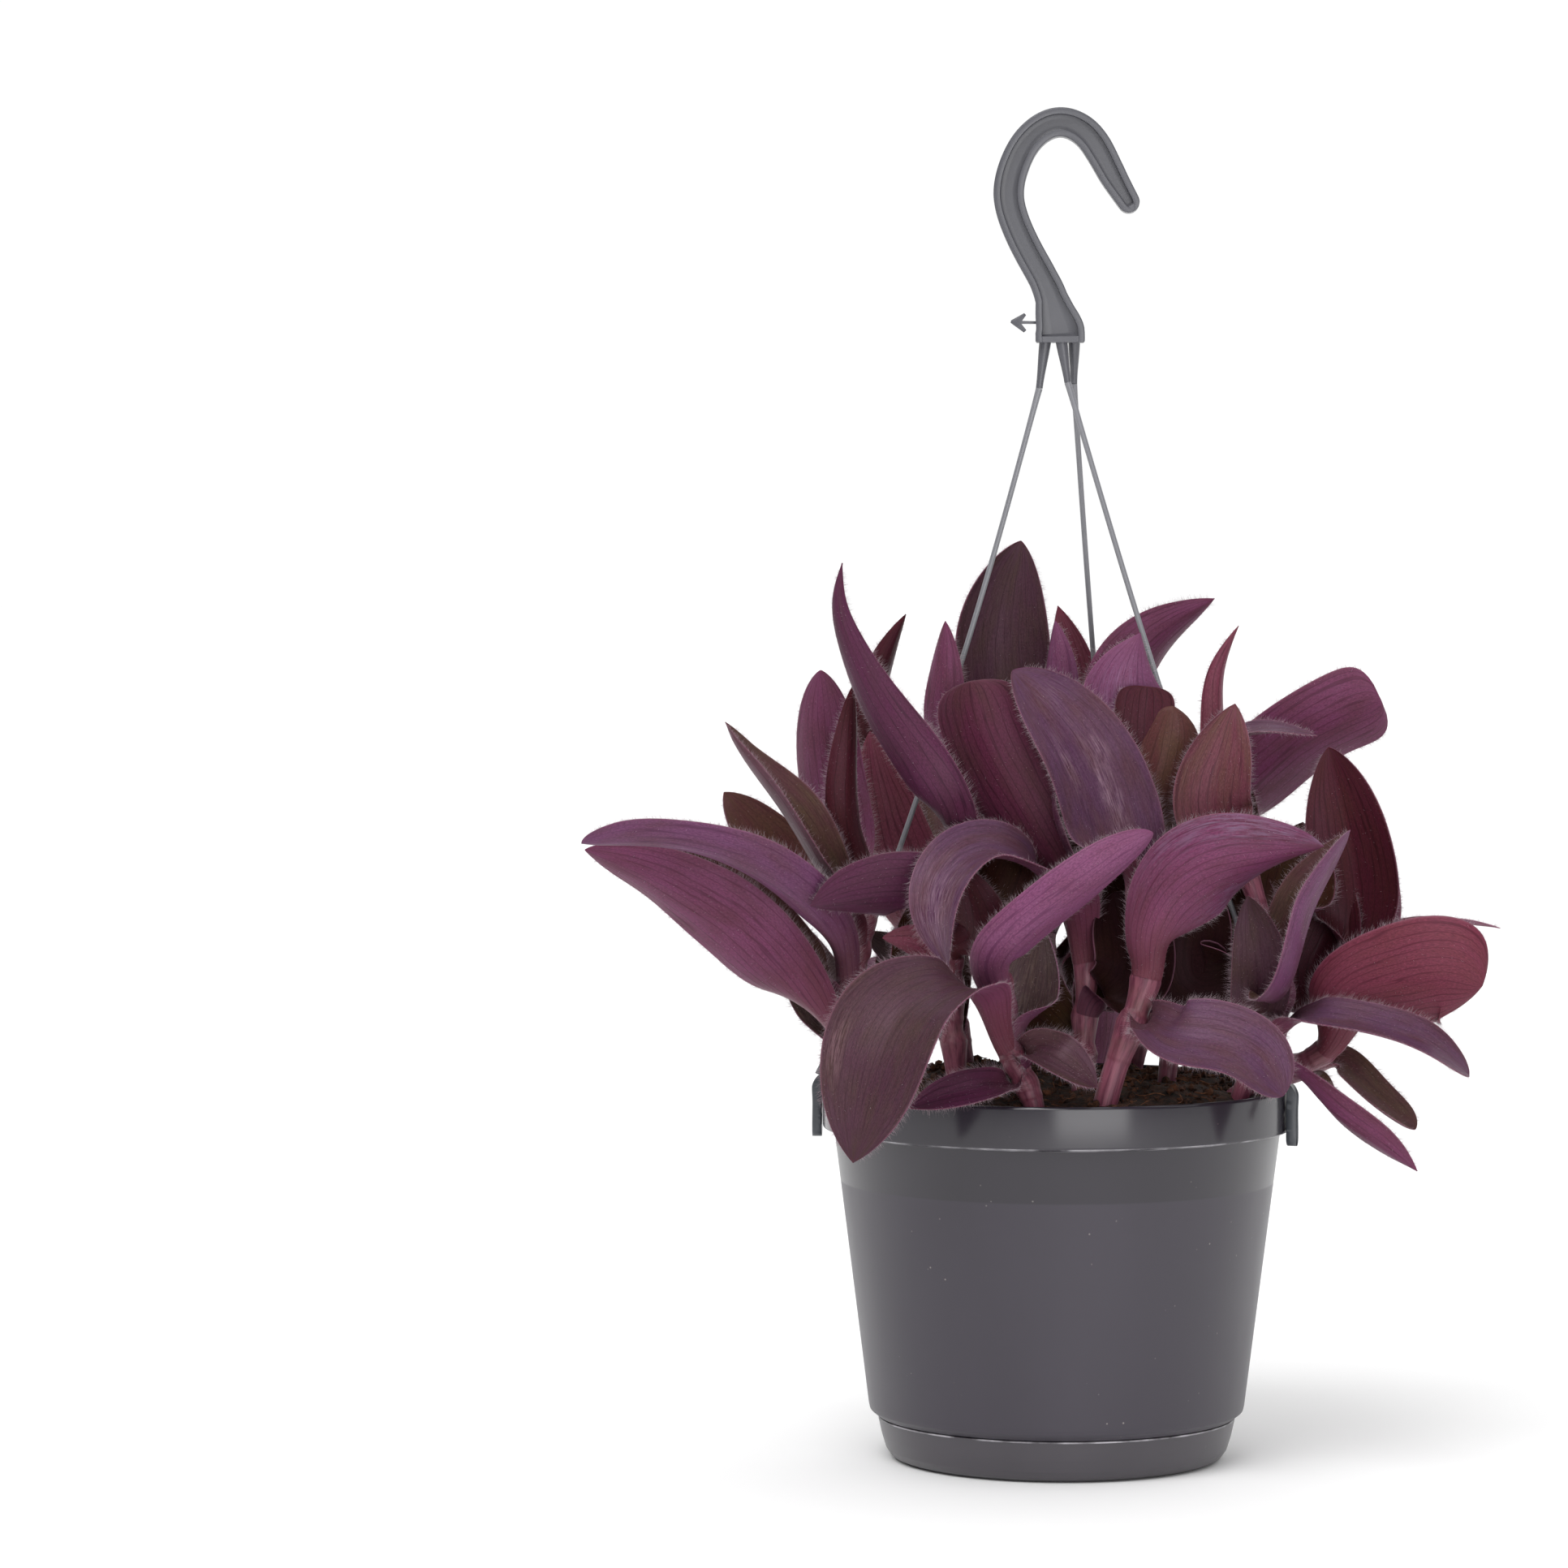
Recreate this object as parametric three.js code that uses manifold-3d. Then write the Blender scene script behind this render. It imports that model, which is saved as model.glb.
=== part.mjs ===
// A potted tradescantia in a plastic hanging pot with its saucer and hanger.
// Millimetres, +Z up. The origin is the centre of the saucer's underside, and -Y is the front.
import * as THREE from 'three';
import { mergeVertices } from 'three/addons/utils/BufferGeometryUtils.js';
import Module from 'manifold-3d';

const wasm = await Module();
wasm.setup();

// ---------------------------------------------------------------- driving dimensions
const RIM_RADIUS = 85;            // a 17 cm hanging pot
const RIM_TOP = 136;
const BAND_BOTTOM = 120.5;         // lower edge of the glossy rim band
const WALL_TOP_RADIUS = 80.9;     // wall just under the band
const SHOULDER_RADIUS = 68.1;     // lower end of the tapering wall
const SHOULDER_Z = 18.6;
const SEAM_Z = 15.5;              // where the saucer's edge meets the pot
const SEAM_RADIUS = 65;
const FOOT_RADIUS = 57;
const WALL = 1.5;
const CLEARANCE = 0.3;            // gap between pieces that touch
const DRAIN_HOLE_RADIUS = 4;
const DRAIN_HOLE_RING = 36;
const DRAIN_HOLES = 6;
const SOIL_RADIUS = 79;           // top of the potting mix, inside the rim
const SOIL_EDGE_Z = 133;
const SOIL_CROWN_Z = 138.5;
const STEM_DEPTH_Z = 128;         // buried end of every stem

const HOOK_DEPTH = 9;             // front to back
const HOOK_WEB = 3;               // thickness left between the two recesses
const HOOK_FLANGE = 2.7;
const PRONG_TOP_Z = 408;          // buried in the hook's base
const PRONG_END_Z = 390;
const STRAND_RADIUS = 1;
const CLIP_WIDTH = 6;

const SHEATH_ANGLE = 165;         // how far a leaf's foot wraps its stem, in degrees
const LEAF_THICKNESS = 1.3;       // at the midrib
const MARGIN_THICKNESS = 0.6;
const LEAF_ROWS = 9;
const LEAF_COLUMNS = 4;
const POT_SEGMENTS = 40;

// ---------------------------------------------------------------- finishes
const finish = (color, roughness) => new THREE.MeshStandardMaterial({ color, roughness, metalness: 0 });
const POT_PLASTIC = 0x58565b;
const HANGER_PLASTIC = 0x6a6a70;
const PEAT = 0x2a1a12;
const STEM_PINK = 0xa0606f;
const LEAF_TONES = {
  magenta: 0x6e3f66,
  plum: 0x5a2f4d,
  mauve: 0x70526f,
  slate: 0x5a4e64,
  olive: 0x574a3a,
  maroon: 0x42202a,
  rust: 0x6a4042,
  rose: 0x8f5566,
};

// ---------------------------------------------------------------- solids
function solidOf(geometry) {
  const bare = geometry.index ? geometry.toNonIndexed() : geometry.clone();
  bare.deleteAttribute('normal');
  bare.deleteAttribute('uv');
  const merged = mergeVertices(bare, 1e-4);
  const mesh = new wasm.Mesh({
    numProp: 3,
    vertProperties: new Float32Array(merged.attributes.position.array),
    triVerts: new Uint32Array(merged.index.array),
  });
  return new wasm.Manifold(mesh);
}

function geometryOf(solid) {
  const mesh = solid.getMesh();
  const geometry = new THREE.BufferGeometry();
  geometry.setAttribute('position', new THREE.BufferAttribute(mesh.vertProperties, 3));
  geometry.setIndex(new THREE.BufferAttribute(mesh.triVerts, 1));
  geometry.computeVertexNormals();
  return geometry;
}

const vector = ([x, y, z]) => new THREE.Vector3(x, y, z);

// A solid of revolution about Z from [radius, height] pairs listed against the clock,
// starting and ending on the axis.
function turned(profile, segments = POT_SEGMENTS) {
  const points = profile.map(([radius, height]) => new THREE.Vector2(radius, height));
  return new THREE.LatheGeometry(points, segments).rotateX(Math.PI / 2);
}

// A flat outline in the XZ plane, given thickness along Y and centred on y = 0.
function plate(shape, thickness) {
  const geometry = new THREE.ExtrudeGeometry(shape, {
    depth: thickness, bevelEnabled: false, curveSegments: 6,
  });
  return geometry.translate(0, 0, -thickness / 2).rotateX(Math.PI / 2);
}

// A round rod along a curve.
function rod(curve, radius, sides, steps) {
  const circle = new THREE.Shape();
  for (let i = 0; i < sides; i += 1) {
    const turn = (i / sides) * 2 * Math.PI;
    const [x, y] = [radius * Math.cos(turn), radius * Math.sin(turn)];
    if (i === 0) circle.moveTo(x, y);
    else circle.lineTo(x, y);
  }
  circle.closePath();
  return new THREE.ExtrudeGeometry(circle, { steps, bevelEnabled: false, extrudePath: curve });
}

// A cubic spline through points with smooth slope and bend. An optional start direction
// sets how it leaves the first point; the far end is free. Slopes come from a few sweeps
// over the usual spline equations.
class SmoothCurve extends THREE.Curve {
  constructor(points, startDirection = null) {
    super();
    this.points = points;
    this.spans = points.slice(1).map((point, i) => point.distanceTo(points[i]));
    this.slopes = points.map(() => new THREE.Vector3());
    const last = points.length - 1;
    const chord = (i) => points[i + 1].clone().sub(points[i]).divideScalar(this.spans[i]);
    for (let sweep = 0; sweep < 40; sweep += 1) {
      this.slopes = this.slopes.map((slope, i) => {
        if (i === 0 && startDirection) return startDirection.clone();
        if (i === 0) return chord(0).multiplyScalar(3).sub(this.slopes[1]).divideScalar(2);
        if (i === last) return chord(last - 1).multiplyScalar(3).sub(this.slopes[last - 1]).divideScalar(2);
        const [before, after] = [1 / this.spans[i - 1], 1 / this.spans[i]];
        return chord(i - 1).multiplyScalar(3 * before)
          .addScaledVector(chord(i), 3 * after)
          .addScaledVector(this.slopes[i - 1], -before)
          .addScaledVector(this.slopes[i + 1], -after)
          .divideScalar(2 * (before + after));
      });
    }
  }

  getPoint(t, target = new THREE.Vector3()) {
    const place = Math.min(t, 0.999999) * this.spans.length;
    const i = Math.floor(place);
    const s = place - i;
    const span = this.spans[i];
    return target.set(0, 0, 0)
      .addScaledVector(this.points[i], 2 * s ** 3 - 3 * s ** 2 + 1)
      .addScaledVector(this.slopes[i], (s ** 3 - 2 * s ** 2 + s) * span)
      .addScaledVector(this.points[i + 1], -2 * s ** 3 + 3 * s ** 2)
      .addScaledVector(this.slopes[i + 1], (s ** 3 - s ** 2) * span);
  }
}

// ---------------------------------------------------------------- pot, saucer and soil
function saucerGeometry() {
  return turned([
    [0, 0], [FOOT_RADIUS, 0], [60.2, 1.4], [62, 4], [63.4, 8.5], [SEAM_RADIUS, SEAM_Z],
    [SEAM_RADIUS - WALL, SEAM_Z], [61.9, 8.8], [60.4, 4.8], [56.4, 1.8], [0, 1.8],
  ]);
}

function potGeometry() {
  const innerWallTop = WALL_TOP_RADIUS - WALL;
  const body = solidOf(turned([
    [0, 2.1], [55.4, 2.1], [59.4, 5.2], [60.9, 9], [62.6, SEAM_Z + CLEARANCE],
    [SEAM_RADIUS, SEAM_Z + CLEARANCE], [SHOULDER_RADIUS, SHOULDER_Z],
    [WALL_TOP_RADIUS, BAND_BOTTOM - 0.4], [RIM_RADIUS - 0.7, BAND_BOTTOM],
    [RIM_RADIUS, BAND_BOTTOM + 0.8], [RIM_RADIUS, RIM_TOP - 0.9], [RIM_RADIUS - 0.7, RIM_TOP],
    [RIM_RADIUS - WALL, RIM_TOP - 0.4], [RIM_RADIUS - WALL - 0.2, BAND_BOTTOM + 2.5],
    [innerWallTop, BAND_BOTTOM - 1], [SHOULDER_RADIUS - WALL, SHOULDER_Z + 1.8],
    [61.2, SEAM_Z + 1.8], [59.3, 9.4], [57.6, 6], [54.6, 3.9], [0, 3.9],
  ]));
  const holes = [];
  for (let i = 0; i < DRAIN_HOLES; i += 1) {
    const turn = (i / DRAIN_HOLES) * 2 * Math.PI;
    const hole = new THREE.CylinderGeometry(DRAIN_HOLE_RADIUS, DRAIN_HOLE_RADIUS, 6, 12)
      .rotateX(Math.PI / 2)
      .translate(DRAIN_HOLE_RING * Math.cos(turn), DRAIN_HOLE_RING * Math.sin(turn), 3);
    holes.push(solidOf(hole));
  }
  return geometryOf(holes.reduce((pot, hole) => pot.subtract(hole), body));
}

// The potting mix fills the pot and has a socket round each stem.
function pottingMixGeometry(stems) {
  const body = solidOf(turned([
    [0, 4.2], [54.2, 4.2], [57, 6.3], [58.8, 9.8], [60.7, 17.9], [66, 21],
    [SOIL_RADIUS - 0.1, BAND_BOTTOM - 1.2], [SOIL_RADIUS, SOIL_EDGE_Z], [74, 134.6],
    [62, 136], [40, 137.6], [0, SOIL_CROWN_Z],
  ], 32));
  const sockets = stems.map((stem) => {
    const below = stem.curve.getPoint(0).clone();
    below.z -= CLEARANCE;
    const path = new SmoothCurve([below, ...stem.curve.points.slice(1)]);
    return solidOf(rod(path, stem.radius + CLEARANCE, 8, 8));
  });
  return geometryOf(sockets.reduce((mix, socket) => mix.subtract(socket), body));
}

// ---------------------------------------------------------------- hanger
// Centre line of the hook's limb: [x, z, half width].
const HOOK_LIMB = [
  [-3, 421.5, 5.4], [-9.2, 434.1, 5.4], [-15.4, 446.8, 5.4], [-18, 457.5, 5.5], [-15.8, 468.7, 5.4],
  [-9.2, 479.2, 5.2], [0.3, 483.6, 5.2], [9.4, 480, 5.3], [14.2, 474, 5.3], [19.2, 464.8, 4.9],
  [25.2, 454.8, 3.9],
];

// The limb's outline, drawn in from its edges by `inset` and cut short by `trim` at both ends.
function hookLimbShape(inset, trim) {
  const line = new SmoothCurve(HOOK_LIMB.map(([x, z]) => new THREE.Vector3(x, 0, z)));
  const widths = new SmoothCurve(HOOK_LIMB.map(([, , half], i) => new THREE.Vector3(i * 10, half, 0)));
  const steps = 26;
  const left = [];
  const right = [];
  for (let i = 0; i <= steps; i += 1) {
    const t = trim + (1 - 2 * trim) * (i / steps);
    const centre = line.getPoint(t);
    const along = line.getPoint(Math.min(t + 0.001, 1)).sub(line.getPoint(Math.max(t - 0.001, 0))).normalize();
    const half = widths.getPoint(t).y - inset;
    left.push(new THREE.Vector2(centre.x - along.z * half, centre.z + along.x * half));
    right.push(new THREE.Vector2(centre.x + along.z * half, centre.z - along.x * half));
  }
  return new THREE.Shape([...right, ...left.reverse()]);
}

function hookGeometry() {
  const recess = (HOOK_DEPTH - HOOK_WEB) / 2;
  const baseOutline = [
    [-8.2, 421], [-8.5, 407.5], [-7, 405.4], [7.6, 403.6], [9.6, 405], [9.9, 407.4], [9.1, 409.3], [1.2, 425.5],
  ];
  const base = plate(new THREE.Shape(baseOutline.map(([x, z]) => new THREE.Vector2(x, z))), HOOK_DEPTH);
  const tip = new THREE.CylinderGeometry(3.9, 3.9, HOOK_DEPTH, 16).translate(25.2, 0, 454.8);
  const tagBarb = [
    [-7.5, 412.1], [-13, 412.3], [-11.6, 414.6], [-12.9, 415.2], [-17.3, 412], [-12.4, 408.2],
    [-11.3, 409.2], [-13, 411.2], [-7.5, 411],
  ];
  const barb = plate(new THREE.Shape(tagBarb.map(([x, z]) => new THREE.Vector2(x, z))), 1.4);
  const pocketOutline = [[-5.6, 416], [-5.8, 409.4], [6.2, 408.2], [6, 410], [0.4, 421]];
  const pocket = plate(new THREE.Shape(pocketOutline.map(([x, z]) => new THREE.Vector2(x, z))), recess);
  const limbPocket = plate(hookLimbShape(HOOK_FLANGE, 0.035), recess);
  const window = new THREE.BoxGeometry(3, HOOK_DEPTH + 2, 2.6).translate(1, 0, 411);
  const prongs = STRANDS.map(({ prongTop, prongEnd }) => {
    const line = new THREE.LineCurve3(vector(prongTop), vector(prongEnd));
    const taper = new THREE.CylinderGeometry(2.1, 1.2, line.getLength(), 10).rotateX(Math.PI / 2);
    const aim = new THREE.Quaternion().setFromUnitVectors(
      new THREE.Vector3(0, 0, 1), vector(prongTop).sub(vector(prongEnd)).normalize(),
    );
    const middle = line.getPoint(0.5);
    return solidOf(taper.applyQuaternion(aim).translate(middle.x, middle.y, middle.z));
  });
  const joined = [plate(hookLimbShape(0, 0), HOOK_DEPTH), base, tip, barb].map(solidOf)
    .concat(prongs)
    .reduce((whole, piece) => whole.add(piece));
  const pocketShift = (HOOK_DEPTH - recess) / 2 + 0.01;
  const cuts = [window];
  for (const side of [-1, 1]) {
    cuts.push(limbPocket.clone().translate(0, side * pocketShift, 0));
    cuts.push(pocket.clone().translate(0, side * pocketShift, 0));
  }
  return geometryOf(cuts.map(solidOf).reduce((whole, cut) => whole.subtract(cut), joined));
}

// Each strand runs taut from its prong under the hook to its clip on the rim.
const CLIP_RADIUS = 86.6;
const STRAND_END_Z = 139.9;
const STRANDS = [
  { name: 'left', bearing: 178, prongTop: [-4.6, 0.4, PRONG_TOP_Z], prongEnd: [-6.9, 0.4, PRONG_END_Z - 2],
    bow: [-27, 1, 315] },
  { name: 'right', bearing: -15, prongTop: [0.9, -1.8, PRONG_TOP_Z], prongEnd: [3.4, -2.8, PRONG_END_Z],
    bow: [23.6, -8.4, 322] },
  { name: 'back', bearing: 72, prongTop: [5.7, 2.4, PRONG_TOP_Z], prongEnd: [5.6, 5, PRONG_END_Z],
    bow: [10.6, 25.5, 322] },
];

function bearingPoint(bearing, radius, z) {
  const turn = THREE.MathUtils.degToRad(bearing);
  return new THREE.Vector3(radius * Math.cos(turn), radius * Math.sin(turn), z);
}

function strandGeometry({ bearing, prongTop, prongEnd, bow }) {
  const away = vector(prongEnd).sub(vector(prongTop)).normalize();
  const start = vector(prongEnd).addScaledVector(away, CLEARANCE);
  const curve = new SmoothCurve([start, vector(bow), bearingPoint(bearing, CLIP_RADIUS, STRAND_END_Z)]);
  return rod(curve, STRAND_RADIUS, 8, 8);
}

// A clip hooks over the rim: a strap outside with a round lower end, a bridge over the lip
// and a short leg inside.
function clipGeometry({ bearing }) {
  const section = new THREE.Shape([
    [85.4, 116], [88.2, 116.4], [88.6, 138.2], [87.6, 139.2], [82, 139.2], [81.1, 138.2],
    [81.1, 128.6], [82.9, 128.6], [82.9, 136.4], [85.4, 136.4],
  ].map(([radius, z]) => new THREE.Vector2(radius, z)));
  const strap = solidOf(plate(section, CLIP_WIDTH));
  const half = CLIP_WIDTH / 2;
  const front = new THREE.Shape();
  front.moveTo(-half, 140);
  front.lineTo(-half + 0.5, 118.3);
  front.absarc(0, 118.3, half - 0.5, Math.PI, 2 * Math.PI, false);
  front.lineTo(half, 140);
  front.closePath();
  const outline = solidOf(plate(front, 20).rotateZ(Math.PI / 2).translate(85, 0, 0));
  const rib = solidOf(new THREE.BoxGeometry(1, 1.4, 15).translate(88.6, 0, 127));
  const turn = THREE.MathUtils.degToRad(bearing);
  return geometryOf(strap.intersect(outline).add(rib)).rotateZ(turn);
}

// ---------------------------------------------------------------- stems
// Each stem rises from the potting mix: radius, then points from the soil upwards.
const STEMS = [
  { name: 'front_left', radius: 3.2, points: [[-8, -70, 135], [-12, -69, 145], [-17, -67, 156], [-18, -62, 168], [-18, -54, 183]] },
  { name: 'front_mid', radius: 4.4, points: [[17, -64, 135], [25, -62, 160], [31, -58, 178], [32, -50, 200]] },
  { name: 'inner', radius: 3.6, points: [[9, -38, 141], [10, -34, 166], [11, -28, 193], [12, -20, 213]] },
  { name: 'left', radius: 3.4, points: [[-65, -22, 137], [-74, -22, 151], [-75, -20, 172], [-70, -14, 192], [-69, -8, 206]] },
  { name: 'mid_left', radius: 3.4, points: [[-36, -28, 140], [-38, -30, 172], [-36, -28, 201], [-30, -20, 224], [-23, -12, 244]] },
  { name: 'back', radius: 3.4, points: [[-2, 18, 142], [-5, 18, 181], [-4, 16, 216], [-1, 14, 246]] },
  { name: 'upper_right', radius: 3.4, points: [[40, -10, 142], [44, -8, 176], [40, -6, 209], [37, -2, 238]] },
  { name: 'right', radius: 3.4, points: [[66, -36, 138], [74, -40, 158], [78, -40, 173], [74, -34, 196], [66, -28, 219]] },
  { name: 'far_right', radius: 3.4, points: [[66, -26, 136], [86, -30, 146], [99, -32, 155], [103, -30, 170]] },
  { name: 'back_left', radius: 3.2, points: [[-34, 45, 140], [-42, 50, 172], [-46, 50, 205]] },
  { name: 'back_right', radius: 3.2, points: [[29, 48, 139], [37, 52, 175], [41, 52, 208]] },
];

// The buried stretch carries the stem's lowest visible slope down into the mix.
function buriedEnd(points) {
  const [low, next] = points;
  const fall = (low[2] - STEM_DEPTH_Z) / (next[2] - low[2]);
  return [low[0] - (next[0] - low[0]) * fall * 0.6, low[1] - (next[1] - low[1]) * fall * 0.6, STEM_DEPTH_Z];
}

function plantStem({ name, radius, points }) {
  const visible = new SmoothCurve(points.map(vector));
  const curve = new SmoothCurve([buriedEnd(points), ...points].map(vector));
  return { name, radius, visible, curve };
}

// ---------------------------------------------------------------- leaves
const ease = (t) => t * t * (3 - 2 * t);
const clamp = (t) => Math.min(Math.max(t, 0), 1);

// A leaf's foot hugs its stem as a sheath; its midrib follows `midrib` to the tip.
// `face` is the way its upper side looks (`tipFace` at the tip), `curl` the angle its
// cross-section bends through (`tipCurl` at the tip), `blunt` how late it narrows, `tip` 1 for
// a pointed tip and 0.5 for a round one, `swell` how late it widens, and `lift` how far the
// foot runs along the stem before it turns away.
const LEAF_DEFAULTS = { curl: 60, blunt: 2.2, tip: 0.85, widest: 0.45, swell: 1.3, lift: 1 };

function leafGeometry(leaf, stem) {
  const { midrib, width, face, tipFace, curl, tipCurl, blunt, tip, widest, swell, lift } = { ...LEAF_DEFAULTS, ...leaf };
  const along = leaf.at;
  const axis = stem.visible.getPointAt(along);
  const stemWay = stem.visible.getPointAt(Math.min(along + 0.02, 1))
    .sub(stem.visible.getPointAt(Math.max(along - 0.02, 0))).normalize();
  const away = vector(midrib[Math.min(1, midrib.length - 1)]).sub(axis);
  away.addScaledVector(stemWay, -away.dot(stemWay)).normalize();
  const sheathRadius = stem.radius + CLEARANCE + LEAF_THICKNESS / 2;
  const foot = axis.clone().addScaledVector(away, sheathRadius);
  const start = stemWay.clone().multiplyScalar(lift).addScaledVector(away, 0.3).normalize();
  const spine = new SmoothCurve([foot, ...midrib.map(vector)], start);
  const sheath = THREE.MathUtils.degToRad(SHEATH_ANGLE);
  const full = width / 2;
  const footHalf = Math.min(sheathRadius * sheath / 2, full);
  const footFace = away.clone().negate();
  const midFace = vector(face).normalize();
  const endFace = vector(tipFace ?? face).normalize();
  const upper = [];
  const lower = [];
  for (let row = 0; row <= LEAF_ROWS; row += 1) {
    const u = (row / LEAF_ROWS) ** 0.9;
    const centre = spine.getPointAt(u);
    const tangent = spine.getPointAt(Math.min(u + 0.001, 1))
      .sub(spine.getPointAt(Math.max(u - 0.001, 0))).normalize();
    const blend = ease(clamp(u / 0.35));
    const late = clamp((u - 0.35) / 0.65);
    const looking = footFace.clone().multiplyScalar(1 - blend)
      .addScaledVector(midFace.clone().lerp(endFace, late), blend);
    const normal = looking.addScaledVector(tangent, -looking.dot(tangent)).normalize();
    const side = tangent.clone().cross(normal);
    const widening = footHalf + (full - footHalf) * Math.sin(clamp(u / widest) * Math.PI / 2) ** swell;
    const narrowing = full * (1 - clamp((u - widest) / (1 - widest)) ** blunt) ** tip;
    const half = Math.max(u < widest ? widening : narrowing, 0.5);
    const own = THREE.MathUtils.degToRad(curl + ((tipCurl ?? curl) - curl) * late);
    const bend = own + (sheath - own) * clamp(1 - u / 0.42) ** 1.3;
    const bendRadius = half / (bend / 2);
    for (let column = 0; column <= LEAF_COLUMNS; column += 1) {
      const v = (2 * column) / LEAF_COLUMNS - 1;
      const angle = (bend / 2) * v;
      const crease = 0.12 * half * (Math.sqrt(v * v + 0.02) - 0.141) * clamp(u / 0.2);
      const point = centre.clone()
        .addScaledVector(side, bendRadius * Math.sin(angle))
        .addScaledVector(normal, bendRadius * (1 - Math.cos(angle)) + crease);
      const out = normal.clone().multiplyScalar(Math.cos(angle)).addScaledVector(side, -Math.sin(angle));
      const body = (MARGIN_THICKNESS + (LEAF_THICKNESS - MARGIN_THICKNESS) * (1 - v * v)) * Math.min(1, half / 6);
      const halfThickness = Math.max(body, 0.5) / 2;
      upper.push(point.clone().addScaledVector(out, halfThickness));
      lower.push(point.clone().addScaledVector(out, -halfThickness));
    }
  }
  return closedSheet(upper, lower, LEAF_ROWS + 1, LEAF_COLUMNS + 1);
}

// Two grids of points, upper and lower, closed round their edge into one body.
function closedSheet(upper, lower, rows, columns) {
  const geometry = new THREE.BufferGeometry().setFromPoints([...upper, ...lower]);
  const below = rows * columns;
  const index = [];
  const quad = (a, b, c, d) => index.push(a, b, c, a, c, d);
  for (let row = 0; row < rows - 1; row += 1) {
    const r = row * columns;
    for (let column = 0; column < columns - 1; column += 1) {
      const a = r + column;
      quad(a, a + 1, a + columns + 1, a + columns);
      quad(below + a, below + a + columns, below + a + columns + 1, below + a + 1);
    }
    const end = r + columns - 1;
    quad(r, r + columns, below + r + columns, below + r);
    quad(end, below + end, below + end + columns, end + columns);
  }
  const top = (rows - 1) * columns;
  for (let column = 0; column < columns - 1; column += 1) {
    quad(column, below + column, below + column + 1, column + 1);
    quad(top + column, top + column + 1, below + top + column + 1, below + top + column);
  }
  geometry.setIndex(index);
  geometry.computeVertexNormals();
  return geometry;
}

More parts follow.
